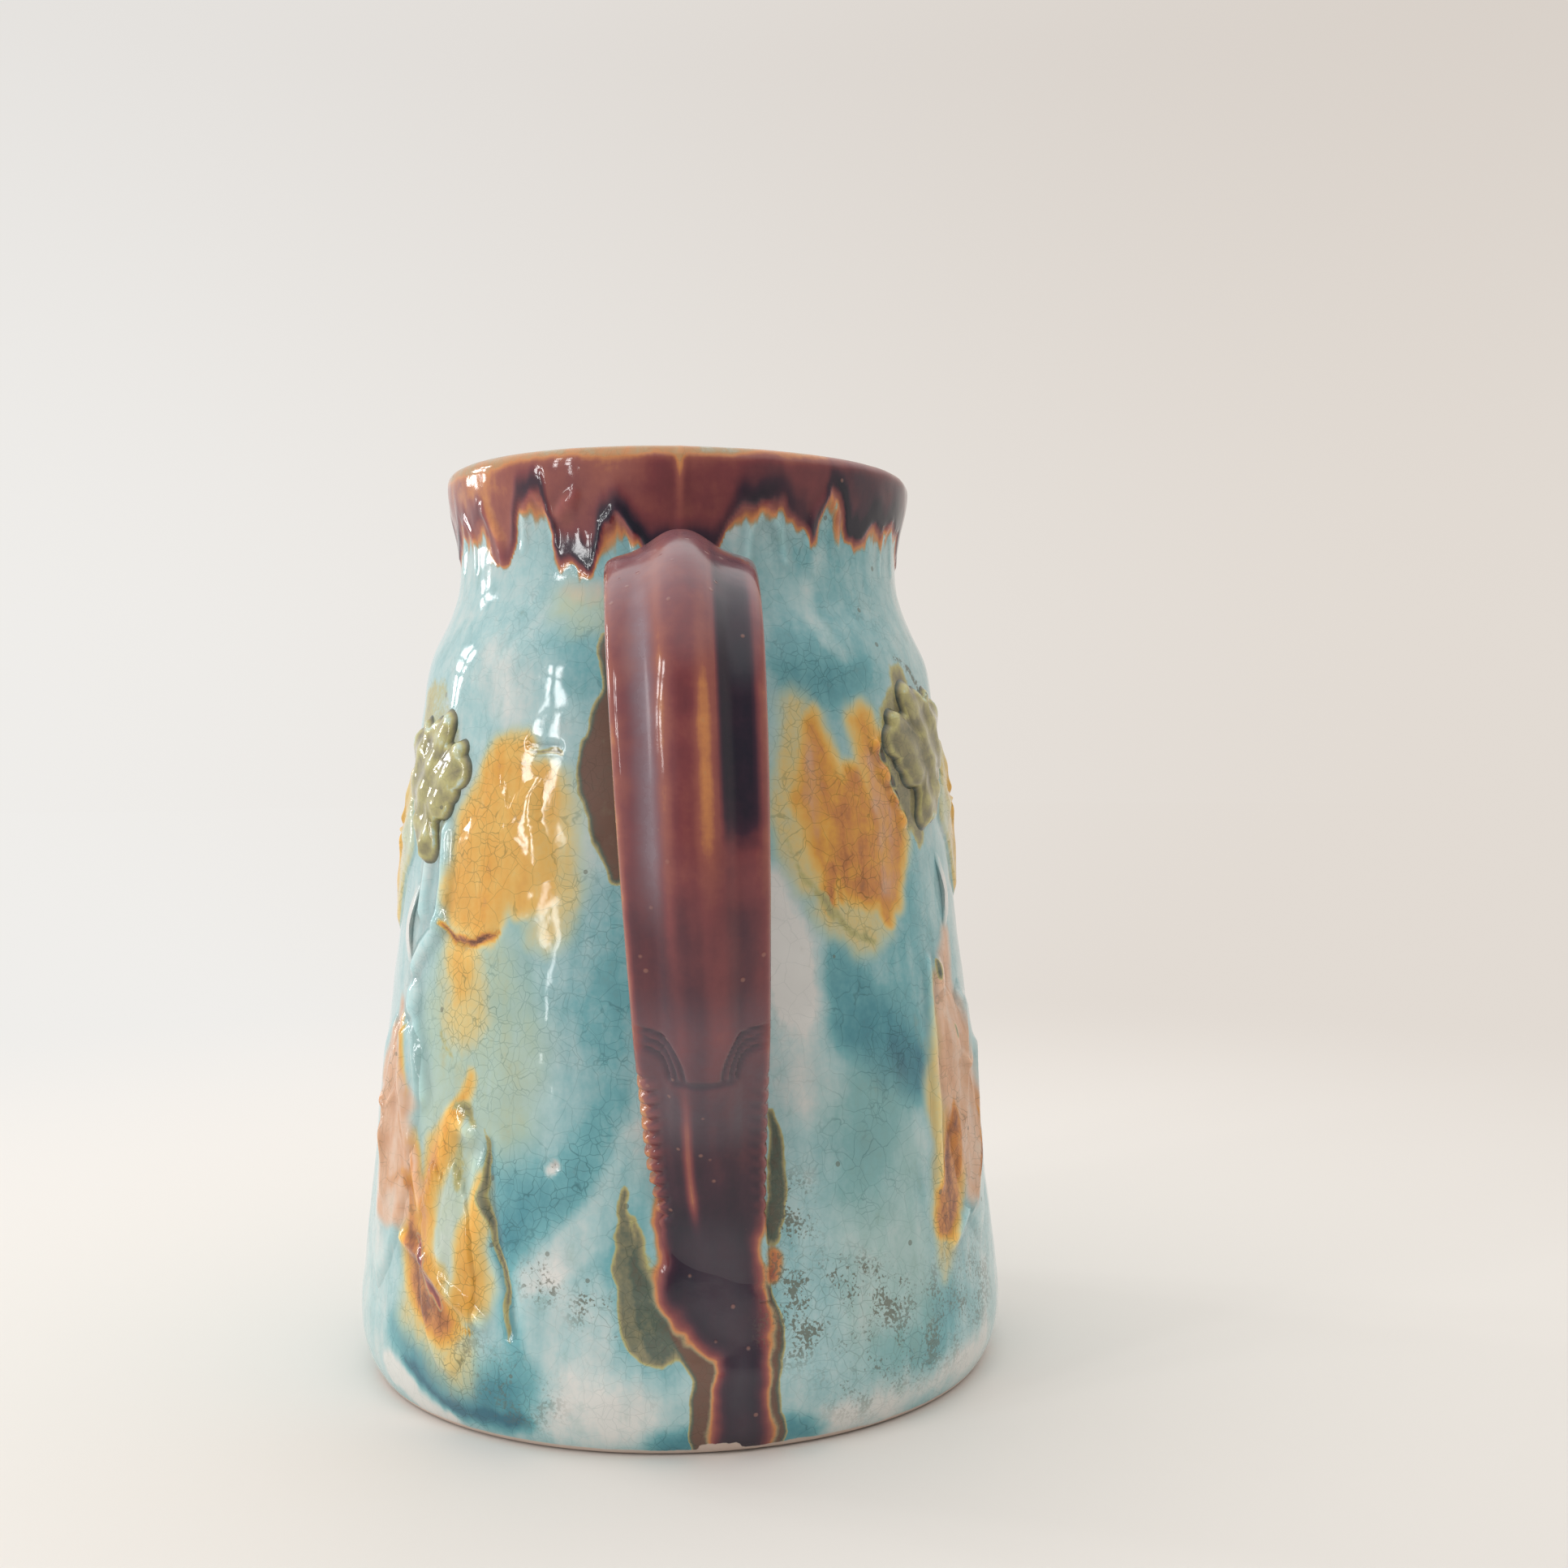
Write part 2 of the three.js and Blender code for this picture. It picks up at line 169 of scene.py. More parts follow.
def bend(points, count):
    """Bezier curve with these control points."""
    share = np.linspace(0, 1, count)[:, None]
    level = [np.repeat(np.array(point, float)[None], count, 0) for point in points]
    while len(level) > 1:
        level = [a + (b - a) * share for a, b in zip(level, level[1:])]
    return level[0]


def outer_profile():
    slope = (SHOULDER_RADIUS - BELLY_RADIUS) / CONE_LENGTH
    low = FOOT_CURVE * CURVE_PULL
    waist = SHOULDER_LENGTH * CURVE_PULL
    lip = FLARE_LENGTH * CURVE_PULL
    foot = [(FOOT_RADIUS, 0), (BELLY_RADIUS - slope * (FOOT_CURVE - low), low), (BELLY_RADIUS, BELLY_Z)]
    shoulder = [
        (SHOULDER_RADIUS, SHOULDER_Z),
        (SHOULDER_RADIUS + slope * waist, SHOULDER_Z + waist),
        (NECK_RADIUS, NECK_Z - SHOULDER_LENGTH / 2),
        (NECK_RADIUS, NECK_Z),
    ]
    flare = [shoulder[-1], (NECK_RADIUS, NECK_Z + lip), (RIM_RADIUS, RIM_Z - lip), (RIM_RADIUS, RIM_Z)]
    return np.vstack([bend(foot, FOOT_STEPS), bend(shoulder, SHOULDER_STEPS), bend(flare, FLARE_STEPS)[1:]])


OUTER = outer_profile()


def wall_radius(height):
    return np.interp(height, OUTER[:, 1], OUTER[:, 0])


def inner_radius(height):
    return wall_radius(height) - toward(WALL, RIM_THICKNESS, smoothstep(NECK_Z, RIM_Z, height))


def mm_per_degree(height):
    return np.radians(wall_radius(height))


def turn_between(angle, other):
    return (angle - other + 180) % 360 - 180


def to_points(angle, radius, height):
    turn = np.radians(angle)
    return np.stack([radius * np.sin(turn), -radius * np.cos(turn), height], -1)


def on_wall(angle, height):
    return to_points(angle, wall_radius(height), height)


def cloud(points, size, octaves, seed):
    """Smooth random field over points in millimetres, about -1 to 1."""
    shift = Vector((seed * 17.3, seed * 5.1, seed * 9.7))
    return np.array([noise.fractal(Vector(point) / size + shift, 1.0, 2.0, octaves) for point in points])


# Shape of the wall
def swell(share):
    return np.where(np.abs(share) < 1, np.cos(np.clip(share, -1, 1) * np.pi / 2) ** 2, 0)


def wall_lift(angle, height):
    """Unevenness, mould seam and modelled ridges of the wall, in millimetres outward."""
    turn = np.radians(angle)
    places = on_wall(angle, height)
    lift = sum(rise * np.sin(count * turn + height / pitch + phase) for rise, count, pitch, phase in WAVES)
    lift += sum(rise * cloud(places, size, 2, seed) for rise, size, seed in LUMPS)
    lift += sum(rise * stroke(angle, height, path, softness) for rise, softness, *path in RIDGES)
    along = np.abs((angle + 90) % 180 - 90) * mm_per_degree(height)
    seam = SEAM_RIDGE * bell(along, 0, SEAM_HALF_WIDTH) * smoothstep(SHOULDER_Z, RIM_Z, height)
    return lift * smoothstep(0, FOOT_CURVE, height) + seam


def run_thickness(height):
    """Thickness of the dark glaze, in millimetres."""
    return toward(RUN_THIN, RUN_THICK, smoothstep(*RUN_SWELL_Z, height))


def crests(lift):
    """How far each point of a stack of rings stands over its surroundings."""
    steps = range(2 * CREST_REACH + 1)
    around = np.pad(lift, ((CREST_REACH, CREST_REACH), (0, 0)), mode="edge")
    around = sum(around[step : step + len(lift)] for step in steps) / len(steps)
    around = sum(np.roll(around, step - CREST_REACH, 1) for step in steps) / len(steps)
    return np.clip(lift - around, -CREST_LIMIT, CREST_LIMIT)


def pull_lip(angle, radius, height):
    along = np.radians(180 - np.abs(angle)) * RIM_RADIUS
    rise = smoothstep(TOP_Z - LIP_DEPTH, TOP_Z, height) ** 2
    pull = swell(along / LIP_HALF_WIDTH) * rise
    pinch = swell((along - LIP_HALF_WIDTH) / (LIP_HALF_WIDTH / 2)) * rise
    return radius + LIP_REACH * pull - LIP_PINCH * pinch, height + LIP_RISE * pull


# A stroke is a path on the unrolled wall: angle from the handle (degrees, right positive), height and half
# width (millimetres). Glazes give their strength and the softness of the stroke's border before the path
GLAZES = [
    # Left leaf: amber, straw on the right, with a burnt lower border
    ("amber", 0.64, 4, (-37, 133, 8), (-39, 119, 12), (-42, 107, 10)),
    ("amber", 0.6, 4, (-44, 128, 3), (-46, 118, 5), (-46, 108, 6)),
    ("amber", 0.58, 4, (-30, 130, 8), (-30, 112, 9)),
    ("amber", 0.4, 5, (-24, 131, 5), (-22.5, 116, 6), (-25, 102, 6)),
    ("amber", 0.62, 3, (-38, 139, 3), (-32, 140, 3)),
    ("amber", 1, 0.8, (-50.5, 100.5, 0.5), (-47.5, 98, 0.8), (-44, 97.6, 0.9),
     (-39.5, 99, 0.9), (-36, 101, 0.5)),
    ("amber", 0.6, 6, (-46, 95, 6), (-44, 89, 4.5)),
    ("amber", 0.42, 8, (-45, 92, 9), (-42.5, 82, 8)),
    ("amber", 0.25, 9, (-38, 93, 13), (-35, 80, 15), (-33, 66, 12)),
    ("amber", 0.25, 8, (-47, 84, 12), (-45, 66, 12), (-42, 46, 12), (-43, 28, 11)),
    ("pink", 0.45, 3, (-27, 171, 3), (-21, 170, 4)),
    ("amber", 0.26, 5, (-26, 168, 6), (-20, 165, 6)),
    ("olive", 0.6, 0.8, (-31, 139.3, 0.6), (-24.5, 138.7, 0.6)),
    # Left foot of the vine: amber columns, a pink fold and a dark groove
    ("amber", 0.74, 4, (-39.6, 72, 1.6), (-43, 64, 3), (-46, 57, 4), (-48.5, 48, 5), (-50, 38, 6)),
    ("amber", 0.66, 4, (-35.6, 52, 2), (-36.3, 44, 3), (-37.5, 36, 4.4), (-36, 28, 5)),
    ("amber", 0.95, 5, (-52, 36, 5), (-48, 29, 7), (-42, 23, 6)),
    ("amber", 0.4, 6, (-50, 24, 8), (-40, 17, 8)),
    ("amber", 0.88, 3, (-53.5, 55, 2), (-55, 47, 4.4), (-52.5, 37, 3.5)),
    ("amber", 0.84, 2.4, (-56, 50, 3), (-61.5, 47, 3.2)),
    # Burnt amber line under the diagonal ridge: painted shade on its lower side
    ("amber", 1, 0.9, (-42, 27, 0.6), (-38.5, 23.5, 0.5), (-36, 21.5, 0.3)),
    ("amber", 0.8, 1.4, (-64, 80, 0.8), (-66, 62, 1), (-63, 44, 1)),
    ("amber", 0.8, 1.4, (-62, 78, 0.8), (-57, 60, 1.2), (-51, 44, 1.2)),
    # Dark brown line along the lower side of the diagonal ridge: painted shade
    ("manganese", 0.55, 0.9, (-50.5, 36, 0.3), (-48, 33.6, 0.8), (-44.5, 29.5, 0.9), (-42, 26.5, 0.3)),
    ("pink", 0.9, 3, (-66, 82, 2), (-65, 70, 6), (-62, 58, 10), (-60, 47, 11)),
    ("olive", 0.6, 1.1, (-35.4, 62, 0.1), (-34.6, 57, 0.9), (-35, 49, 1.2), (-32, 39, 0.7), (-30, 33, 0.9)),
    ("depth", 0.34, 3, (-34, 58, 1), (-33.6, 49, 1.6), (-31, 39, 2), (-29, 31, 2), (-27.6, 20, 2.4)),
    ("olive", 0.54, 1.1, (-30, 33, 0.9), (-29, 28, 0.8), (-28.3, 22, 0.3)),
    # Dark olive in the hollow above the knob: painted shade
    ("olive", 0.5, 2.4, (-43, 66, 0.8), (-40, 64.5, 1.2), (-38.5, 62, 0.8)),
    # Soft olive patch: painted shade
    ("olive", 0.36, 3, (-48, 79, 1.6), (-45.5, 76, 1.6)),
    ("olive", 0.42, 3, (-42, 57, 1.4), (-40.5, 52, 1.8)),
    # Right leaf: terracotta with a straw border, a notch on top and two tips below
    ("amber", 0.42, 4, (22.5, 146, 4.5), (20.8, 132, 4.5), (22, 119, 5), (25, 110, 4)),
    ("amber", 0.76, 4, (27, 142, 4), (28, 128, 7.5), (30, 114, 6.5)),
    ("amber", 0.92, 3, (30, 140, 0.6), (32, 128, 2), (32.5, 114, 2.2), (31, 106, 1)),
    ("amber", 0.82, 4, (35.5, 131, 4), (36, 122, 9), (37, 111, 8)),
    ("amber", 0.8, 4, (40.5, 143, 3.5), (43.5, 132, 6.5), (46, 120, 6.5), (44, 108, 4)),
    ("amber", 0.88, 2.5, (28.8, 112, 3.5), (28, 105, 2)),
    ("amber", 0.8, 2, (42, 112, 4), (41.8, 102, 2)),
    ("amber", 0.38, 3.5, (29, 105, 6), (35, 100, 5), (40, 101, 4)),
    ("pink", 0.54, 5, (41, 134, 4), (43, 122, 5), (43, 110, 4)),
    ("pink", 0.5, 4, (25, 140, 2), (26, 122, 3)),
    ("olive", 0.4, 1.6, (20, 121, 0.6), (23, 113, 1), (28, 104, 1.2), (33.5, 99.5, 1), (37, 98, 0.8)),
    # Right foot of the vine: pale pink, then orange brown to a point
    ("pink", 0.9, 4, (63, 96, 3), (60, 84, 7), (60.5, 68, 9.6), (64, 52, 8.4), (62, 42, 4)),
    ("amber", 0.4, 3, (55.5, 88, 2.4), (53.5, 76, 3.4), (52, 62, 5),
     (51, 48, 5), (49, 36, 2.8), (47.8, 26, 1)),
    ("amber", 0.94, 3, (57.5, 65, 1.4), (56, 52, 4.8), (53.6, 44, 6.6), (51, 37, 4)),
    ("amber", 0.96, 3, (66.5, 60, 1.4), (66.5, 51, 4), (64, 44, 2.4)),
    ("olive", 0.7, 0.8, (57, 91, 0.8), (57.5, 88, 0.9)),
    ("olive", 0.66, 0.7, (61, 77.5, 0.5), (61.4, 75.5, 0.6)),
    ("amber", 0.42, 3, (51.5, 34, 2.4), (48.3, 26, 1.4)),
    # Faint amber wash over the lower right, partly a painted warm tint of the light falling on that side
    ("amber", 0.15, 10, (34, 60, 16), (36, 25, 18)),
    # Leaves and runs on the lip side
    ("amber", 0.3, 8, (-84, 126, 9), (-83, 112, 10)),
    ("amber", 0.3, 8, (84, 130, 9), (84, 116, 10)),
    ("amber", 0.56, 4, (-86, 108, 3), (-88, 92, 2.2), (-89, 76, 3.2), (-88.5, 65, 4), (-89, 60, 2)),
    ("amber", 0.56, 4, (87, 112, 3), (89, 98, 2.2), (90, 84, 3), (89.5, 74, 4), (90, 69, 2)),
    ("manganese", 0.74, 2.2, (178, 184, 8), (177.5, 172, 3.2), (177, 158, 2),
     (177.6, 149, 2.8), (178, 145, 1.6)),
    ("manganese", 0.66, 2.2, (163, 184, 6), (162.6, 175, 2.4), (162, 167, 1.6), (162.2, 162, 2.2)),
    # Bunches, and dark olive patches beside both roots of the handle; the long one beside the upper root is
    # partly painted shade and reflection of the handle
    ("olive", 0.3, 3, (-66, 146, 9), (-60, 138, 10), (-57, 126, 7), (-57, 118, 3)),
    ("olive", 0.48, 2.5, (54, 152, 4), (53.5, 145, 8), (54.5, 136, 9), (56.5, 126, 7), (57.5, 119, 2.5)),
    # Olive beside the upper root: glaze, and painted shade and reflection of the handle
    ("olive", 0.95, 1.5, (-15.5, 161, 0.8), (-15, 150, 1.8), (-15.5, 140, 4),
     (-15, 130, 5), (-12, 114, 1.5)),
    ("olive", 0.58, 1, (-9.6, 51, 0.9), (-9.8, 44, 1.8), (-9, 37, 2.6), (-7, 28, 3.6), (-5, 23, 3.6)),
    ("olive", 0.68, 1.8, (-8, 46, 0.4), (-7.6, 38, 1.8), (-5, 28, 3.6), (-3.4, 23, 3.6)),
    ("depth", 0.2, 4, (-10, 60, 1), (-10.4, 46, 3), (-9, 34, 4), (-5, 22, 6)),
    ("olive", 0.7, 0.9, (14.5, 66, 0.8), (15.4, 58, 1.6), (15.3, 50, 1.9), (14.8, 43, 1.6)),
    ("olive", 0.85, 0.9, (45.4, 137.5, 0.9), (45.9, 135.6, 0.9)),
    ("olive", 0.85, 0.9, (47.7, 131.6, 0.9), (48.3, 130.2, 0.9)),
    ("olive", 0.85, 0.9, (49, 128.2, 1), (49.6, 127, 1)),
    # Dark run from the foot of the handle, with its brown border
    ("manganese", 0.96, 2.6, (3.7, 44, 9.4), (3.7, 36, 9.8), (6, 27, 7.4),
     (8.2, 21, 4.6), (8.4, 10, 4.7), (8.4, -3, 4.8)),
    ("olive", 0.95, 0.9, (4.6, 34, 11), (6.4, 24, 10), (7.7, 12, 8.8), (8, -3, 9)),
    # Grey film over the run: dust, and a painted sheen on the dark glaze
    ("dust_and_sheen", 0.12, 4, (4.5, 42, 7), (5, 32, 6), (8, 20, 3), (8.4, 6, 3)),
    ("manganese", 0.3, 1.6, (14.6, 40, 1.2), (14, 36, 1.4)),
    ("depth", 0.5, 2.5, (-4, 2.5, 3), (0, 3, 3)),
    ("depth", 0.5, 2.5, (16, 3, 4), (21, 2, 3)),
    # Deeper turquoise
    ("depth", 0.12, 10, (34, 172, 18), (37, 110, 24), (40, 60, 18)),
    ("depth", 0.16, 5, (24, 156, 5), (35, 151, 6), (43, 155, 5)),
    ("depth", 0.16, 3, (31, 178, 2.5), (33, 168, 3)),
    ("depth", 0.14, 6, (-22, 162, 7), (-17, 156, 8)),
    ("depth", 0.11, 5, (-10, 118, 4), (-12, 100, 6.5), (-14, 84, 6),
     (-18, 70, 6), (-22, 58, 8), (-29, 38, 5)),
    ("depth", 0.05, 4, (-11, 100, 4), (-13, 82, 4)),
    ("depth", 0.14, 5, (-28, 52, 5), (-30, 40, 4)),
    ("depth", 0.1, 8, (-33, 86, 8), (-30, 68, 9), (-30, 52, 8)),
    ("depth", 0.44, 4, (-56, 18, 3), (-49, 13, 5), (-40, 10, 6), (-31, 9, 6), (-25, 12, 5)),
    ("depth", 0.4, 1.6, (-53, 11.5, 1), (-46, 6.4, 1.4), (-38, 4.4, 1.8), (-30, 4, 2), (-26, 5.6, 1.6)),
    ("depth", 0.34, 3.5, (29, 95, 4), (33, 84, 7), (40, 76, 8), (46, 70, 6)),
    ("depth", 0.2, 4, (42, 74, 4), (48, 69, 4)),
    ("depth", 0.12, 6, (36, 62, 8), (30, 50, 7)),
    ("depth", 0.2, 4, (33, 16, 4), (41, 14, 5), (48, 20, 5)),
    ("depth", 0.24, 8, (92, 78, 8), (97, 56, 13), (93, 34, 8)),
    ("depth", 0.24, 8, (-93, 92, 8), (-99, 66, 12), (-96, 34, 9)),
    # Milky turquoise
    ("depth", -0.2, 5, (-42, 157, 4), (-36, 148, 5)),
    ("depth", -0.2, 2, (35.5, 180, 1.5), (30.5, 169, 2.5), (36, 157, 2)),
    ("depth", -0.17, 1.6, (-7, 62, 4), (-10.8, 52, 4), (-16, 42.6, 4), (-21, 37, 4), (-27, 32.6, 3)),
    ("depth", 0.14, 2.4, (-11.6, 70, 3), (-17.4, 57, 4), (-23, 48, 4), (-29, 42, 3)),
    ("depth", -0.1, 4, (-20, 36, 6), (-15, 28, 8)),
    ("depth", -0.36, 6, (-18, 9, 8), (-8, 8, 6)),
    ("depth", -0.4, 1.6, (-58, 8, 4), (-50, 4.5, 3.5), (-42, 1, 2)),
    ("depth", -0.52, 5, (18, 113, 2), (19.5, 102, 4.6), (20, 88, 5)),
    ("depth", -0.3, 8, (20, 92, 5), (21, 80, 5), (22, 68, 4)),
    ("depth", -0.3, 4, (24, 4, 3), (36, 5, 4), (50, 7, 4), (62, 7, 4)),
    ("depth", -0.5, 0.6, (-21.7, 56.3, 1.5), (-21.5, 56.3, 1.5)),
    # Pitting, dirt in cracks and a chip
    ("grime", 1, 5, (17.3, 50, 3), (17.3, 38, 4), (17.3, 24, 6)),
    ("grime", 1, 4, (25, 32, 5), (34, 27, 6)),
    ("grime", 0.85, 3, (-24.5, 34, 3), (-22.5, 32, 3)),
    ("grime", 0.85, 3, (-15, 29, 4), (-11, 26, 3)),
    ("grime", 0.6, 8, (30, 16, 10), (60, 22, 10)),
    ("grime", 0.4, 4, (-36, 14, 8), (-24, 10, 6)),
    ("grime", 1.6, 0.5, (54, 157.5, 0.5), (60, 154.5, 0.6), (64, 150, 0.5)),
    ("grime", 1.6, 0.4, (-21.7, 56.3, 0.5), (-21.6, 56.3, 0.5)),
    ("clay", 1, 0.5, (2.6, 1.2, 1), (6, 1.6, 1.3), (8, 1, 0.8)),
]

# Modelled ridges: rise in millimetres, softness of the flanks and path
RIDGES = [
    (1.3, 1.8, (-52.5, 121, 1.3), (-52, 110, 1.5), (-53, 102, 1.3)),
    (1.3, 1.8, (-59, 118, 1.4), (-60, 104, 1.4)),
    (1.2, 1.8, (-52, 102, 1.4), (-58, 96, 1.6), (-61, 92, 1.4)),
    (1.4, 1.8, (-60, 86, 2.4), (-60, 84, 2.4)),
    (1, 1.8, (-58, 80, 1.4), (-55, 72, 1.4), (-53, 66, 1.2)),
    (1, 2, (-64, 80, 1.2), (-66, 62, 1.5), (-63, 44, 1.2)),
    (1, 2, (-62, 78, 1.2), (-57, 60, 1.5), (-51, 44, 1.2)),
    (1.1, 1.3, (-56, 36, 1), (-49, 34, 1.2), (-43.4, 31, 1.2), (-38, 27, 1.1), (-34.5, 24, 0.8)),
    (0.9, 2.4, (-44, 63, 2), (-48, 46, 2.4)),
    (0.9, 2.4, (-37, 54, 1.6), (-37, 36, 2)),
    (-0.5, 1.4, (-41, 65, 0.8), (-39.5, 64.5, 0.9)),
    (0.9, 1.6, (-42, 61.6, 1), (-39.4, 60.6, 1.2)),
    (-0.8, 1.4, (-34.8, 59, 0.6), (-34, 48, 0.8), (-31.5, 38, 0.8), (-29.2, 30, 0.8), (-28.3, 23, 1)),
    (-0.6, 1, (-50.5, 100.5, 0.5), (-44, 97.6, 0.8), (-36, 101, 0.5)),
    (-0.4, 0.6, (-31, 139.3, 0.5), (-24.5, 138.7, 0.5)),
    (0.9, 1.5, (68, 82, 1.1), (64, 70, 1.2), (60, 58, 1.2)),
    (1, 1.5, (71, 72, 1.1), (68, 60, 1.2), (62, 40, 1.2), (52, 33, 0.9)),
    (0.8, 1.6, (54, 92, 1), (53, 76, 1.2), (52, 62, 1), (50, 46, 1)),
    (1.2, 1.6, (58, 90, 2), (58, 87, 2)),
    (1, 1, (43.6, 139, 1), (43.9, 138.4, 1)),
    (1, 1, (45.4, 133, 1.3), (45.8, 132, 1.3)),
    (1, 1, (47.4, 127.6, 1.2), (47.8, 126.8, 1.2)),
    (1, 1, (49.6, 123, 1.3), (49.9, 122.4, 1.3)),
    (-0.5, 0.6, (-21.7, 56.3, 0.6), (-21.6, 56.3, 0.6)),
    (0.8, 1.6, (-29, 186.6, 0.8), (-26.8, 188.2, 1.4), (-24.8, 190, 0.6)),
    (0.6, 1.4, (-54, 189, 0.6), (-50, 183, 0.9), (-48, 178, 0.6)),
]

# Scallops under the rim: angle and height of each crown, then turn, fall and half width of one leg
SCALLOPS = [(-97, 188), (-66, 188), (-36, 191), (-15, 187), (21, 188), (37.5, 192), (66, 188), (97, 188)]
SCALLOPS += [(angle, 188) for angle in (-148, -127, 127, 148)]
SCALLOP_LEG = ((5, 11, 0.4), (3.8, 4, 0.6))
SCALLOP_RISE = 0.55
SCALLOP_SOFTNESS = 1.1
SCALLOP_HALF_WIDTH = 0.7
for middle, crown in SCALLOPS:
    left = [(middle - turn, crown - fall, width) for turn, fall, width in SCALLOP_LEG]
    right = [(middle + turn, crown - fall, width) for turn, fall, width in reversed(SCALLOP_LEG)]
    RIDGES.append((SCALLOP_RISE, SCALLOP_SOFTNESS, *left, (middle, crown, SCALLOP_HALF_WIDTH), *right))

# Lower border of the dark rim glaze, drip by drip: angle, height and length of the lighter fringe below it
RIM_LINE = [
    (-172, 186, 4), (-163, 180, 2), (-158, 180, 2), (-148, 188, 6), (-139, 177, 2), (-136, 177, 2),
    (-127, 187, 5), (-110, 175, 2), (-106, 175, 2), (-97, 188, 5), (-88, 187, 4), (-80, 180, 2),
    (-70, 187, 5), (-64, 184, 4), (-57, 186, 5), (-51, 177, 1.5), (-46, 176.5, 1.5), (-40, 189, 8),
    (-34, 190.5, 9), (-30.5, 177, 3), (-21, 174.5, 1.5), (-17.5, 185, 8), (-13, 185.5, 8), (-8, 178, 3),
    (9, 179, 4), (14, 187.5, 5), (24, 189, 5), (29, 186, 4), (33.6, 180.5, 1.5), (36.5, 191.5, 7),
    (41, 190, 7), (46.5, 182.5, 2), (51.5, 182.5, 2.5), (55, 187, 6), (60, 184.5, 5), (66, 188, 6),
    (74, 187, 4), (84, 179, 2), (88, 179, 2), (97, 188, 5), (106, 186, 4), (114, 176, 2), (118, 176, 2),
    (127, 188, 6), (138, 180, 2), (150, 188, 5), (160, 184, 3), (170, 180, 2),
]
RIM_LINE_STEP = 0.75

# Strength of the rim glaze: plain, added to the right, pooled along the border, taken off on seam and lip,
# fringe, least and taken off on the left. Then its seam streak and pool, in millimetres
RIM_PLAIN = 0.38
RIM_RIGHT = 0.28
RIM_POOLED = 0.42
RIM_SEAM = 0.26
RIM_LIP = 0.36
RIM_FRINGE = 0.36
RIM_LEAST = 0.16
RIM_LEFT = 0.05
SEAM_STREAK = 0.9
POOL_DROP = 2.4
POOL_HALF_WIDTH = 3


# Random fields that move, fray and shade the glaze: squeeze upright, size, octaves and seed
CLOUDS = {
    "sway": (1, 14, 4, 1),
    "drop": (1, 17, 4, 2),
    "patch": (1, 30, 3, 3),
    "feather": (0.2, 3.4, 2, 4),
    "fray": (0.1, 1.7, 2, 6),
    "drift": (0.5, 26, 4, 9),
}
DRIFT_TURN = (70, 110)


def stroke(angle, height, points, softness):
    """1 inside the stroke and 0 outside it, with a soft border."""
    scale = mm_per_degree(height)
    gap = np.full(angle.shape, 1e3)
    for (a0, h0, w0), (a1, h1, w1) in zip(points, points[1:]):
        across = turn_between(angle, a0) * scale
        run = (a1 - a0) * scale
        fall = h1 - h0
        share = np.clip((across * run + (height - h0) * fall) / (run * run + fall * fall), 0, 1)
        away = np.hypot(across - share * run, height - h0 - share * fall)
        gap = np.minimum(gap, away - (w0 + (w1 - w0) * share))
    return 1 - smoothstep(-softness, softness, gap)


def rim_line(angle):
    """Height of the dark border and length of its fringe at these angles."""
    line = np.array(RIM_LINE, float)
    fine = np.arange(-180, 180, RIM_LINE_STEP)
    place = np.interp(fine, line[:, 0], np.arange(len(line)), left=-1, right=-1)
    first = np.floor(place).astype(int)
    before = line[first, 1:]
    after = line[(first + 1) % len(line), 1:]
    value = toward(before, after, smoothstep(0, 1, place - first)[:, None])
    value = sum(np.roll(value, step, 0) for step in (-1, 0, 1)) / 3
    return [np.interp(angle, fine, column, period=360) for column in value.T]


def rim_glaze(angle, height, sway, patch, feather, fray):
    """Dark glaze that ran down from the rim: pooled along its border, thin on the lip and over the seam."""
    edge, fringe = rim_line(angle + 1.5 * sway)
    over = height - edge + 1.5 * feather + sway + 0.6 * fray
    right = smoothstep(-10, 30, angle) * smoothstep(170, 120, angle)
    left = smoothstep(-34, -56, angle) * smoothstep(-90, -70, angle) * smoothstep(188, 194, height)
    seam = bell(np.abs(angle) * mm_per_degree(height), 0, SEAM_STREAK) * smoothstep(NECK_Z, RIM_Z, height)
    rim = RIM_PLAIN + RIM_RIGHT * right - RIM_LEFT * left - RIM_SEAM * seam + 0.2 * patch + 0.1 * sway
    rim += (RIM_POOLED + 0.3 * patch) * bell(over, POOL_DROP, POOL_HALF_WIDTH)
    rim -= RIM_LIP * smoothstep(RIM_Z - 1.5, TOP_Z, height)
    rim = np.maximum(rim, RIM_LEAST) - RIM_FRINGE
    frayed = fringe * np.maximum(0.8 + 0.5 * feather + 0.6 * fray, 0.3)
    below = RIM_FRINGE * np.clip(1 + over / frayed, 0, 1)
    return np.where(over > 0, below + rim * smoothstep(0, 1.6, over), below)


def no_glaze(shape):
    return {name: np.zeros(shape) for name in FIELDS}


def glaze_fields(angle, height, points):
    """Strength of every glaze on the outside of the wall."""
    clouds = (cloud(points * (1, 1, squeeze), *form) for squeeze, *form in CLOUDS.values())
    sway, drop, patch, feather, fray, drift = clouds
    moved_angle = angle + 2 * sway / mm_per_degree(height)
    moved_height = height + 2 * drop + 0.8 * feather
    fields = no_glaze(angle.shape)
    fields["depth"] += 0.31 + 0.16 * patch + 0.34 * drift * smoothstep(*DRIFT_TURN, np.abs(angle))
    for field, strength, softness, *path in GLAZES:
        mark = strength * stroke(moved_angle, moved_height, path, softness)
        fields[field] = fields[field] + mark if field == "depth" else np.maximum(fields[field], mark)
    fields["pink"] *= 1 - 0.8 * smoothstep(0.78, 0.9, fields["amber"])
    rim = rim_glaze(angle, height, sway, patch, feather, fray)
    fields["manganese"] = np.maximum(fields["manganese"], rim)
    fields["clay"] = np.maximum(fields["clay"], 1 - smoothstep(0.6, 1.4, height + 0.7 * drop))
    return fields


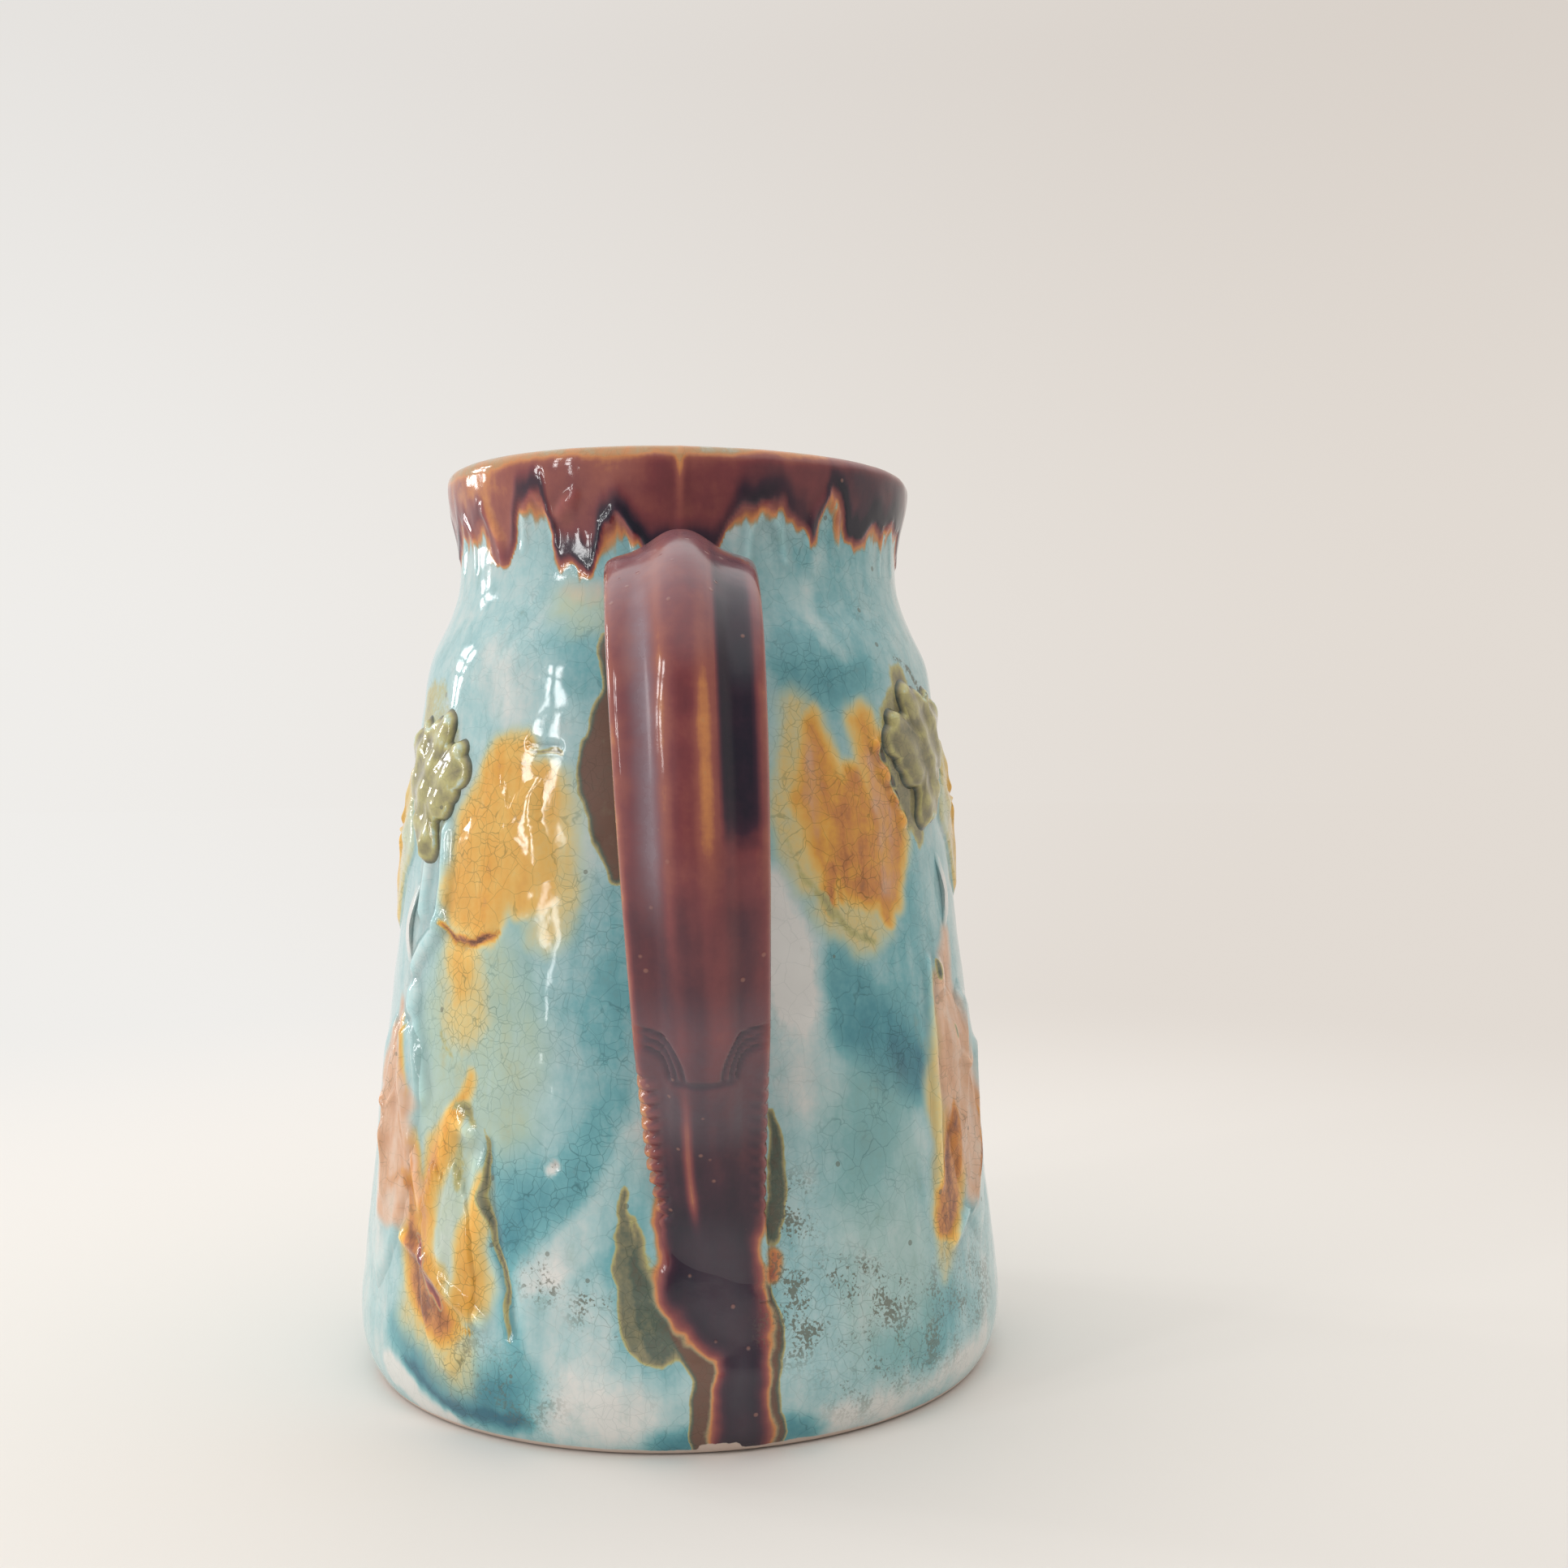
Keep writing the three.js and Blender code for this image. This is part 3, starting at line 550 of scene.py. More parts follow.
def inside_fields(height, points):
    """The same for the inside, where the brown rim ends sooner over a milky glaze."""
    patch = cloud(points, 30, 3, 5)
    fields = no_glaze(height.shape)
    fields["depth"] += 0.22 + 0.2 * patch
    fields["amber"] = 0.3 * smoothstep(NECK_Z - 14, NECK_Z + 4, height + 6 * patch)
    rim = smoothstep(NECK_Z + 2, RIM_Z - 3, height + 5 * patch)
    fields["manganese"] = rim * (0.6 - 0.3 * smoothstep(RIM_Z, TOP_Z, height))
    return fields


# Meshes
def make_piece(name, points, faces, fields, material, nodes):
    """Closed smooth mesh with the glaze fields as attributes, riding on the root in place of the nodes."""
    mesh = bpy.data.meshes.new(name)
    mesh.from_pydata((points * MM).tolist(), [], faces)
    shape = bmesh.new()
    shape.from_mesh(mesh)
    bmesh.ops.recalc_face_normals(shape, faces=shape.faces)
    shape.to_mesh(mesh)
    shape.free()
    mesh.shade_smooth()
    for field in FIELDS:
        values = np.asarray(fields[field], np.float32)
        mesh.attributes.new(field, "FLOAT", "POINT").data.foreach_set("value", values)
    mesh.materials.append(material)
    piece = bpy.data.objects.new(name, mesh)
    bpy.context.scene.collection.objects.link(piece)
    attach(piece, "root")
    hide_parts(*nodes)


def ring_faces(rows, columns):
    """Quads between neighbouring closed rings, with the first and last ring capped."""
    index = np.arange(rows * columns).reshape(rows, columns)
    beside = np.roll(index, -1, 1)
    quads = np.stack([index[:-1], beside[:-1], beside[1:], index[1:]], -1).reshape(-1, 4)
    return quads.tolist() + [index[0].tolist(), index[-1].tolist()]


def glazed_wall(material):
    """Both halves of the wall and the glaze on the floor as one skin."""
    corner_z = FLOOR + FLOOR_CORNER
    floor_z = FLOOR + GLAZE_SKIN
    under_z = FLOOR + GLAZE_SKIN / 5
    floor = [(radius, floor_z) for radius in np.linspace(WALL_CENTRE, SEAT_RADIUS - 1, FLOOR_STEPS)]
    corner = [(SEAT_RADIUS, floor_z), (inner_radius(FLOOR), floor_z), (inner_radius(corner_z), corner_z)]
    corner = bend(corner, CORNER_STEPS)
    inner_z = np.linspace(corner_z, RIM_Z, INSIDE_ROWS)[1:]
    inside = np.stack([inner_radius(inner_z), inner_z], -1)
    half = np.linspace(np.pi, 0, RIM_STEPS)[1:-1]
    bead = RIM_THICKNESS / 2
    rim = np.stack([RIM_RADIUS - bead + bead * np.cos(half), RIM_Z + bead * np.sin(half)], -1)
    outer_z = np.linspace(RIM_Z, FOOT_ROUND, OUTSIDE_ROWS)
    outside = np.stack([wall_radius(outer_z), outer_z], -1)
    foot = bend([outside[-1], (FOOT_RADIUS, 0), (FOOT_RADIUS - FOOT_ROUND, 0)], FOOT_ROUND_STEPS)[1:]
    under = [(SEAT_RADIUS + 1, 0), (SEAT_RADIUS, 1), (SEAT_RADIUS, under_z), (WALL_CENTRE, under_z)]
    profile = np.vstack([floor, corner, inside, rim, outside, foot, under])
    rows = len(profile)
    lining_rows = len(floor) + len(corner) + len(inside) + len(rim) // 2
    angle = np.tile(np.linspace(-180, 180, WALL_AROUND, endpoint=False), rows)
    row = np.repeat(np.arange(rows), WALL_AROUND)
    radius = profile[row, 0]
    height = profile[row, 1]
    lining = row < lining_rows
    bare = row >= rows - len(under) - len(foot)
    plain = to_points(angle, radius, height)
    inner = inside_fields(height, plain)
    outer = glaze_fields(angle, height, plain)
    fields = {name: np.where(lining, inner[name], outer[name]) for name in FIELDS}
    fields["clay"] = np.where(bare, 1, fields["clay"])
    lift = wall_lift(angle, height) * np.where(lining, 0.5 * smoothstep(FLOOR, corner_z, height), 1) * ~bare
    fields["crest"] = crests(lift.reshape(rows, WALL_AROUND)).ravel() * ~lining
    thick = run_thickness(height) * smoothstep(0.1, 0.8, fields["manganese"])
    thick *= ~lining * ~bare * np.where(height < SHOULDER_Z, 1, 0.5)
    radius = radius + lift + thick
    height = height - RIM_TILT * radius * np.sin(np.radians(angle)) * smoothstep(SHOULDER_Z, TOP_Z, height)
    radius, height = pull_lip(angle, radius, height)
    points = to_points(angle, radius, height)
    nodes = ("body_half_left", "body_half_right")
    faces = ring_faces(rows, WALL_AROUND)
    make_piece("glazed_wall", points, faces, fields, material, nodes)


# Knots of the strap's line, as shares of its height and reach
OUT_SHARE = 0.68
RISE_REACH = 0.4
BEND_SHARE = 0.3
BEND_REACH = 0.92
LOW_SHARE = 0.25
LOW_REACH = 0.62
TAIL_LIFT = 0.6
BURIED_SHARE = 0.6


def beyond_wall(height, distance):
    upper_z = TOP_Z - HANDLE_DROP
    skew = HANDLE_SKEW * (upper_z - height) / (upper_z - HANDLE_END_HEIGHT)
    return np.array([skew, -wall_radius(height) - distance, height])


def smooth_line(knots, count):
    """Centripetal Catmull-Rom line through the knots, evenly spaced."""
    knots = np.vstack([2 * knots[0] - knots[1], knots, 2 * knots[-1] - knots[-2]])
    stretches = []
    for p0, p1, p2, p3 in zip(knots, knots[1:], knots[2:], knots[3:]):
        d0, d1, d2 = (math.sqrt(np.linalg.norm(b - a)) for a, b in ((p0, p1), (p1, p2), (p2, p3)))
        start = ((p1 - p0) / d0 - (p2 - p0) / (d0 + d1) + (p2 - p1) / d1) * d1
        end = ((p2 - p1) / d1 - (p3 - p1) / (d1 + d2) + (p3 - p2) / d2) * d1
        stretches.append(bend([p1, p1 + start / 3, p2 - end / 3, p2], KNOT_STEPS)[:-1])
    line = np.vstack([*stretches, knots[-2][None]])
    length = np.concatenate([[0], np.cumsum(np.linalg.norm(np.diff(line, axis=0), axis=1))])
    even = np.linspace(0, length[-1], count)
    return np.stack([np.interp(even, length, line[:, axis]) for axis in range(3)], -1)


def strap_line():
    upper_z = TOP_Z - HANDLE_DROP
    tail_z = HANDLE_END_HEIGHT + HANDLE_TAIL
    out_z = toward(tail_z, upper_z, OUT_SHARE)
    knots = [
        (upper_z, -WALL),
        (upper_z + HANDLE_RISE, HANDLE_REACH * RISE_REACH),
        (toward(upper_z, out_z, BEND_SHARE), HANDLE_REACH * BEND_REACH),
        (out_z, HANDLE_REACH),
        (toward(tail_z, upper_z, LOW_SHARE), HANDLE_REACH * LOW_REACH),
        (tail_z, STRAP_THICKNESS * TAIL_LIFT),
        (HANDLE_END_HEIGHT, -STRAP_TIP_THICKNESS / 2),
    ]
    return smooth_line(np.array([beyond_wall(*knot) for knot in knots]), STRAP_STATIONS)


# Collar, notches and tail of the strap
COLLAR_Z = 79
COLLAR_RADII = (5.6, 7.2, 8.8)
GROOVE_DEPTH = 0.6
GROOVE_HALF_WIDTH = 0.5
NOTCH_PITCH = 3.1
NOTCH_DEPTH = 0.7
NOTCH_TOP_Z = 78
NOTCH_END_Z = 46
NOTCH_BORDER = (0.33, 0.45)
NOTCH_RIGHT = 0.25
TAIL_SINK = 1.2
TAIL_NARROWING = 3.5
TAIL_SHIFT = 1.6
TAIL_MELT = 0.6
TAIL_DIP = 0.15

# Shares of the strap's length where its end narrows, thins and melts, and its widening at the neck
TAIL_START = 0.82
THIN_START = 0.7
MELT_SHARES = (0.78, 0.86)
ROOT_SHARE = 0.3
ROOT_WIDENING = 4
ROOT_FADE = 3

# Heights between which the strap's glaze gives way to the run below it
RUN_JOIN_Z = (52, 40)

# Places in the strap's glaze: middle and half width across it, then the heights, with softness where it ends
RIB_LEFT = (-5, 1.2)
RIB_LEFT_Z = (90, 110)
RIB_RIGHT = (4.9, 0.7)
RIB_RIGHT_Z = (136, 150)
ORANGE = (2.6, 1.7)
ORANGE_Z = ((112, 160, 9), (124, 150, 8))
RED = (-3.4, 1)
RED_Z = (44, 76, 8)
NAVY = (5.4, 12, 0.8)
NAVY_Z = (124, 168, 6)
PALE = (-FLUTE_SIDE, 2.2)
PALE_Z = (112, 166, 10)
PALE_TOP_Z = (150, 170)
PALE_LOW_Z = (66, 92, 6)
BORDER_SHARES = (0.88, 0.98)
BORDER_Z = (34, 44)


def collar_grooves(side, height, half_width):
    """Incised quarter rings on both borders of the strap, joined by a crease."""
    groove = np.zeros(side.shape)
    for border in (-1, 1):
        away = np.hypot(side - border * half_width, height - COLLAR_Z)
        for radius in COLLAR_RADII:
            line = bell(away, radius, GROOVE_HALF_WIDTH)
            groove = np.maximum(groove, line * smoothstep(-0.5, 0.8, height - COLLAR_Z))
    crease = bell(height, COLLAR_Z, GROOVE_HALF_WIDTH)
    crease *= 1 - smoothstep(half_width - COLLAR_RADII[1], half_width - COLLAR_RADII[0], np.abs(side))
    return np.maximum(groove, crease)


def strap_fields(side, height, half_width, front, cut, notches, points):
    """Glaze on the strap by place across it, height and depth of the cuts."""
    streak = cloud(np.stack([side, height * 0.1, front * 3], -1), 4, 2, 7)
    fleck = cloud(points, 5, 3, 8)
    rib_left = bell(side, *RIB_LEFT) * smoothstep(*RIB_LEFT_Z, height)
    rib_right = bell(side, *RIB_RIGHT) * smoothstep(*RIB_RIGHT_Z, height)
    orange = 0.6 * bell(side, *ORANGE) * sum(band(height, *heights) for heights in ORANGE_Z)
    red = bell(side, *RED) * band(height, *RED_Z)
    navy = band(side, *NAVY) * band(height + 3 * fleck, *NAVY_Z)
    edges = smoothstep(*BORDER_SHARES, np.abs(side) / half_width) * np.where(side < 0, 0.9, 0.6)
    # Washes over the plain brown: strength, and share of each place that it takes
    washes = [
        (0.66 + 0.16 * streak, 0.8 * band(height, 84, 112, 8)),
        (0.8 + 0.12 * streak, smoothstep(90, 70, height)),
        (0.95, smoothstep(62, 42, height)),
        (0.32 + 0.1 * streak, 0.7 * np.maximum(rib_left, rib_right) * front),
        (0.24, orange * front),
        (0.97, navy * front),
        (0.3, red * front),
        (0.3 + 0.08 * fleck, edges * smoothstep(*BORDER_Z, height)),
    ]
    brown = 0.48 + 0.1 * streak + 0.06 * fleck
    for strength, share in washes:
        brown = toward(brown, strength, share)
    fields = no_glaze(side.shape)
    fields["manganese"] = brown + 0.3 * cut - notches * np.clip(brown - 0.2, 0, 0.4)
    # Pale film on the strap: dust on the top, which also paints in the sheen of the bright sky; on the left
    # flute and in a low band it is a painted reflection of the pale room
    top = 0.32 * smoothstep(*PALE_TOP_Z, height) * (1 - 0.5 * navy)
    left_flute = 0.75 * bell(side, *PALE) * band(height, *PALE_Z)
    lower = 0.22 * band(height, *PALE_LOW_Z)
    fields["dust_and_sheen"] = np.maximum(np.maximum(top, left_flute), lower) * front
    return fields


def strap_section():
    """Evenly spaced points round an oblong with rounded corners, as shares of its half sizes."""
    turn = np.linspace(0, 2 * np.pi, SECTION_STEPS)
    waves = np.stack([np.sin(turn), np.cos(turn)], -1)
    oblong = np.sign(waves) * np.abs(waves) ** STRAP_ROUNDING
    steps = np.linalg.norm(np.diff(oblong * (STRAP_WIDTH_TOP, STRAP_THICKNESS), axis=0), axis=1)
    length = np.concatenate([[0], np.cumsum(steps)])
    even = np.linspace(0, length[-1], STRAP_SIDES, endpoint=False)
    return [np.interp(even, length, oblong[:, axis]) for axis in (0, 1)]


def strap_handle(material):
    line = strap_line()
    line = line[line[:, 1] + wall_radius(line[:, 2]) < WALL * BURIED_SHARE]
    stations = len(line)
    along = np.repeat(np.linspace(0, 1, stations), STRAP_SIDES)
    wide, deep = (np.tile(share, stations) for share in strap_section())
    across = np.array([1.0, 0, 0])
    outward = np.cross(np.gradient(line, axis=0), across)
    outward /= np.linalg.norm(outward, axis=1)[:, None]
    outward = np.repeat(outward, STRAP_SIDES, 0)
    middle = np.repeat(line, STRAP_SIDES, 0)
    rooted = np.repeat(-line[:, 1] - wall_radius(line[:, 2]), STRAP_SIDES)
    flare = np.exp(-np.clip(rooted, 0, None) / ROOT_FADE) * smoothstep(ROOT_SHARE, 0, along)
    tail = smoothstep(TAIL_START, 1, along)
    width = toward(STRAP_WIDTH_TOP, STRAP_WIDTH_END, along**STRAP_TAPER) - TAIL_NARROWING * tail
    thin = smoothstep(THIN_START, 1, along)
    thickness = toward(STRAP_THICKNESS, STRAP_TIP_THICKNESS, thin) + ROOT_WIDENING * flare
    side = wide * width / 2
    front = np.clip(deep, 0, 1) ** 2
    face = smoothstep(0.1, 0.5, front)
    height = middle[:, 2]
    rib = RIB_HEIGHT * toward(RIB_LOW_SHARE, 1, smoothstep(*RIB_RISE_Z, height))
    ridge = rib * (1 - thin) * front * np.exp(-(np.abs(side / RIB_HALF_WIDTH) ** RIB_ROUNDING))
    flutes = FLUTE_DEPTH * bell(np.abs(side), FLUTE_SIDE, FLUTE_HALF_WIDTH) * front * (1 - thin)
    flutes *= smoothstep(*FLUTE_END_Z, height)
    lower = along > 0.5
    grooves = collar_grooves(side, height, width / 2) * face * lower
    border = smoothstep(*NOTCH_BORDER, np.abs(side) / width) * np.where(side < 0, 1, NOTCH_RIGHT)
    comb = 0.5 + 0.5 * np.cos((height + 0.5 * np.abs(side)) * 2 * np.pi / NOTCH_PITCH)
    notched = border * band(height, NOTCH_END_Z, NOTCH_TOP_Z, 3) * lower
    cut = GROOVE_DEPTH * grooves + NOTCH_DEPTH * comb**2 * notched + flutes
    depth = deep * thickness / 2 + ridge
    slim = 1 - cut / (thickness / 2 + ridge + 1)
    wrapped = TAIL_SINK + side**2 / (2 * BELLY_RADIUS)
    placed = side * slim + TAIL_SHIFT * tail
    points = middle + placed[:, None] * across + (depth * slim - wrapped * tail)[:, None] * outward
    # The end melts into the glaze that ran down from it
    angle = np.degrees(np.arctan2(points[:, 0], -points[:, 1]))
    reach = np.hypot(points[:, 0], points[:, 1])
    skin = wall_radius(points[:, 2]) + wall_lift(angle, points[:, 2]) + run_thickness(points[:, 2])
    melted = skin - TAIL_DIP + TAIL_MELT * np.log1p(np.exp((reach - skin) / TAIL_MELT))
    points[:, :2] *= (1 + smoothstep(*MELT_SHARES, along) * (melted / reach - 1))[:, None]
    fields = strap_fields(side, height, width / 2, face, grooves, (1 - comb) * notched, points)
    run = glaze_fields(angle, points[:, 2], on_wall(angle, points[:, 2]))
    fields = {name: toward(fields[name], run[name], smoothstep(*RUN_JOIN_Z, height)) for name in FIELDS}
    faces = ring_faces(stations, STRAP_SIDES)
    make_piece("strap_handle", points, faces, fields, material, ("handle_strap",))


# Sprigs are round pads whose outline and relief are given in their own plane, then fitted to their CAD node
SPRIG_SINK = 0.2
SPRIG_BACK = 1.2


def node_span(node):
    """Angles from the handle and heights that a node covers on the wall."""
    corners = np.array([vertex.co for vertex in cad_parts[node].data.vertices]) / MM
    angle = np.degrees(np.arctan2(corners[:, 0], -corners[:, 1]))
    return angle.min(), angle.max(), corners[:, 2].min(), corners[:, 2].max()


def make_sprig(node, material, slot, outline, relief, tint, soft_from):
    """outline(bearing) gives the border of the pad, relief(across, up, out) its height over the wall."""
    low_angle, high_angle, low_z, high_z = node_span(node)
    bearing = np.linspace(0, 2 * np.pi, PAD_AROUND, endpoint=False)
    border = outline(bearing)
    share = np.concatenate([[PAD_CENTRE], np.linspace(0, 1, PAD_RINGS + 1)[1:]])
    out = np.repeat(share, PAD_AROUND)
    across = (share[:, None] * border[:, 0]).ravel()
    up = (share[:, None] * border[:, 1]).ravel()
    spread = border.max(0) - border.min(0)
    angle = (across - border[:, 0].min()) / spread[0] * (high_angle - low_angle)
    angle = low_angle + angle if low_angle + high_angle > 0 else high_angle - angle
    height = low_z + (up - border[:, 1].min()) / spread[1] * (high_z - low_z)
    fade = smoothstep(1, soft_from, out)
    raised = relief(across, up, out) * fade
    base = wall_radius(height) + wall_lift(angle, height)
    front = to_points(angle, base + raised - SPRIG_SINK * (1 - fade), height)
    back_rows = [round(step * PAD_RINGS) for step in np.linspace(1, PAD_CENTRE, PAD_BACK_STEPS)[1:]]
    back_angle = angle.reshape(-1, PAD_AROUND)[back_rows].ravel()
    back_height = height.reshape(-1, PAD_AROUND)[back_rows].ravel()
    back = to_points(back_angle, wall_radius(back_height) - SPRIG_BACK, back_height)
    all_angle = np.concatenate([angle, back_angle])
    all_height = np.concatenate([height, back_height])
    fields = glaze_fields(all_angle, all_height, on_wall(all_angle, all_height))
    fields["crest"][: len(front)] = crests(raised.reshape(-1, PAD_AROUND)).ravel()
    fields = tint(fields, np.concatenate([raised, np.zeros(len(back))]), np.abs(all_angle))
    faces = ring_faces(len(share) + len(back_rows), PAD_AROUND)
    make_piece(node + "_glazed", np.vstack([front, back]), faces, fields, material, (node,))


# Leaves
LEAF_HEEL = 0.16
LEAF_SINUS = 0.16
LEAF_SINUS_WIDTH = 0.3
LEAF_TEETH = 31
LEAF_TOOTH = 0.02
LEAF_PUCKER = 0.18


def turned(across, up, tilt):
    turn = math.radians(tilt)
    return across * math.cos(turn) - up * math.sin(turn), up * math.cos(turn) + across * math.sin(turn)


def leaf_outline(lobes, notch, width, length, tilt):
    def border(bearing):
        gap = np.abs(np.sin(bearing * lobes / 2)) ** 1.2
        edge = (1 - LEAF_HEEL + LEAF_HEEL * np.cos(bearing)) * (1 - notch * gap)
        edge += LEAF_TOOTH * np.sin(bearing * LEAF_TEETH) * gap
        edge -= LEAF_SINUS * bell(bearing, np.pi, LEAF_SINUS_WIDTH)
        across = edge * np.sin(bearing) * width / 2
        return np.stack(turned(across, -edge * np.cos(bearing) * length / 2, tilt), -1)

    return border


def leaf_relief(lobes, width, length, tilt, dome, vein):
    def relief(across, up, out):
        level, rise = turned(across, up, -tilt)
        lobe = np.abs(np.cos(np.arctan2(level / width, -rise / length) * lobes / 2))
        ribs = vein * lobe**14 * smoothstep(0, 0.15, out) * (1 - out)
        pucker = LEAF_PUCKER * np.sin(out * 16) * lobe**2 * (1 - out)
        return dome * (1.4 - out**2 + pucker) + ribs

    return relief


# Bunches of grapes
GRAPE_ROWS = (4, 6, 6, 5, 4, 3, 2)
GRAPE_WIDTH = 6.4
GRAPE_PITCH = 4.8
GRAPE_RELIEF = 1.3
GRAPE_SHIFT = 1.2
GRAPE_SPREAD = 0.3
GRAPE_MELT = 2.2
GRAPE_LEVEL = 0.35
BUNCH_DOME = 1.5
BUNCH_SINK = 0.9


def grapes():
    """Place and width of each grape, uneven because they were pressed by hand."""
    row_pitch = GRAPE_PITCH * math.sin(math.pi / 3)
    made = []
    for row, count in enumerate(GRAPE_ROWS):
        for place in range(count):
            number = len(made)
            across = (place - (count - 1) / 2) * GRAPE_PITCH + GRAPE_SHIFT * math.sin(7.3 * number + 1.1)
            up = ((len(GRAPE_ROWS) - 1) / 2 - row) * row_pitch + GRAPE_SHIFT * math.sin(4.1 * number + 2.3)
            made.append((across, up, GRAPE_WIDTH * (1 + GRAPE_SPREAD * math.sin(5.7 * number + 0.4))))
    return np.array(made)


def bunch_outline(bearing):
    """Farthest border of any grape in each direction."""
    ray = np.stack([np.sin(bearing), -np.cos(bearing)], -1)
    reach = np.zeros(len(bearing))
    for across, up, width in grapes():
        ahead = ray @ (across, up)
        half_chord = np.clip((width / 2) ** 2 - (across**2 + up**2 - ahead**2), 0, None) ** 0.5
        reach = np.maximum(reach, np.where(half_chord > 0, ahead + half_chord, 0))
    return ray * reach[:, None]


def bunch_relief(across, up, out):
    """Grapes melted into each other by the thick glaze."""
    total = np.full(across.shape, math.exp(GRAPE_MELT * GRAPE_LEVEL))
    for middle_across, middle_up, width in grapes():
        away = np.hypot(across - middle_across, up - middle_up) / (width / 2)
        total += np.exp(GRAPE_MELT * GRAPE_RELIEF * np.sqrt(np.clip(1 - away**2, 0, 1)))
    lump = 0.22 * np.sin(0.7 * across + 0.4 * up + 1) + 0.18 * np.sin(0.35 * across - 0.9 * up)
    return np.log(total) / GRAPE_MELT - BUNCH_SINK + lump + BUNCH_DOME * np.sqrt(1 - out**2)


# Stems
STEM_WIDTH = 5.5
STEM_LENGTH = 20
STEM_BOW = 3.5
STEM_RELIEF = 1.1


def stem_outline(bearing):
    across = np.sin(bearing) * STEM_WIDTH / 2
    up = -np.sign(np.cos(bearing)) * np.abs(np.cos(bearing)) ** 0.6 * STEM_LENGTH / 2
    return np.stack([across + STEM_BOW * np.cos(up * np.pi / STEM_LENGTH), up], -1)


def stem_relief(across, up, out):
    return STEM_RELIEF * (1 - out**2) ** 2


def leaf_tint(amber):
    """Thin glaze on the raised parts, and amber toward the lip up to the leaf's own border."""

    def tint(fields, lift, turn):
        fields["depth"] = fields["depth"] - 0.06 * lift
        shown = amber * smoothstep(0, 0.6, lift) * (0.4 + 0.6 * smoothstep(72, 92, turn))
        fields["amber"] = np.maximum(fields["amber"], shown)
        return fields

    return tint


def bunch_tint(olive):
    """Olive that pools between the grapes, with painted shade along the pad's border and in the hollows and
    painted highlight on the crests.
    """

    def tint(fields, lift, turn):
        pooled_and_shade = 0.12 * smoothstep(0.9, 0.2, lift) - 0.4 * fields["crest"]
        fields["olive"] = np.maximum(fields["olive"], olive) + pooled_and_shade
        return fields

    return tint


def stem_tint(fields, lift, turn):
    fields["depth"] = fields["depth"] - 0.3 * lift
    return fields


# Leaves on both sides: lobes, notch, width, length, tilt, dome, vein, start of the soft border, amber
LEAVES = {
    "upper_leaf": (5, 0.3, 37, 46, 8, 0.35, 0, 0.5, 0),
    "front_leaf": (5, 0.3, 34, 42, -8, 1.2, 0.72, 0.8, 0.76),
    "lower_leaf": (3, 0.22, 31, 68, 0, 1.2, 0.72, 0.8, 0),
}
BASAL_LEAF = (1, 0.1, 19, 48, -8, 1, 0.5, 0.86, 0)
BUNCH_OLIVE = {"left": 0.41, "right": 0.44}
BUNCH_SOFT_FROM = 0.86
STEM_SOFT_FROM = 0.5


def make_leaf(node, material, lobes, notch, width, length, tilt, dome, vein, soft_from, amber):
    outline = leaf_outline(lobes, notch, width, length, tilt)
    relief = leaf_relief(lobes, width, length, tilt, dome, vein)
    make_sprig(node, material, "amber_glaze", outline, relief, leaf_tint(amber), soft_from)


def vine_sprigs(material):
    for side, olive in BUNCH_OLIVE.items():
        bunch = (bunch_outline, bunch_relief, bunch_tint(olive), BUNCH_SOFT_FROM)
        stem = (stem_outline, stem_relief, stem_tint, STEM_SOFT_FROM)
        make_sprig(f"grape_bunch_{side}", material, "olive_glaze", *bunch)
        make_sprig(f"vine_stem_{side}", material, "turquoise_glaze", *stem)
        for leaf, form in LEAVES.items():
            make_leaf(f"{leaf}_{side}", material, *form)
    make_leaf("basal_leaf_left", material, *BASAL_LEAF)


# Materials
class Wire:
    """Output of a shader node, which can be added, multiplied and compared as a number can."""

    def __init__(self, tree, socket):
        self.tree = tree
        self.socket = socket

    def beside(self, output):
        """Another output of the same node."""
        return Wire(self.tree, self.socket.node.outputs[output])

    def math(self, operation, first, second):
        return put(self.tree, "Math", {0: first, 1: second}, operation=operation)

    def __add__(self, other):
        return self.math("ADD", self, other)

    def __sub__(self, other):
        return self.math("SUBTRACT", self, other)

    def __rsub__(self, other):
        return self.math("SUBTRACT", other, self)

    def __mul__(self, other):
        return self.math("MULTIPLY", self, other)

    def __gt__(self, other):
        return self.math("GREATER_THAN", self, other)

    def __lt__(self, other):
        return self.math("LESS_THAN", self, other)

    def most(self, other):
        return self.math("MAXIMUM", self, other)

    def least(self, other):
        return self.math("MINIMUM", self, other)

    def step(self, low, high):
        """0 below low and 1 above high, smooth between them."""
        values = {"Value": self, "From Min": low, "From Max": high}
        return put(self.tree, "MapRange", values, interpolation_type="SMOOTHSTEP")

    __radd__ = __add__
    __rmul__ = __mul__


def put(tree, kind, values=None, output=0, **settings):
    """One output of a new node, whose inputs are linked to wires or set."""
    made = tree.nodes.new("ShaderNode" + kind)
    for name, value in settings.items():
        setattr(made, name, value)
    for key, value in (values or {}).items():
        if isinstance(value, Wire):
            tree.links.new(value.socket, made.inputs[key])
        else:
            made.inputs[key].default_value = value
    return Wire(tree, made.outputs[output])


def show(shader, target):
    made = shader.tree.nodes.new("ShaderNodeOutput" + target)
    shader.tree.links.new(shader.socket, made.inputs["Surface"])


def blend(factor, first, second, mode="MIX"):
    colours = [value if isinstance(value, Wire) else (*value, 1) for value in (first, second)]
    values = {0: factor, 6: colours[0], 7: colours[1]}
    return put(factor.tree, "Mix", values, 2, data_type="RGBA", blend_type=mode)


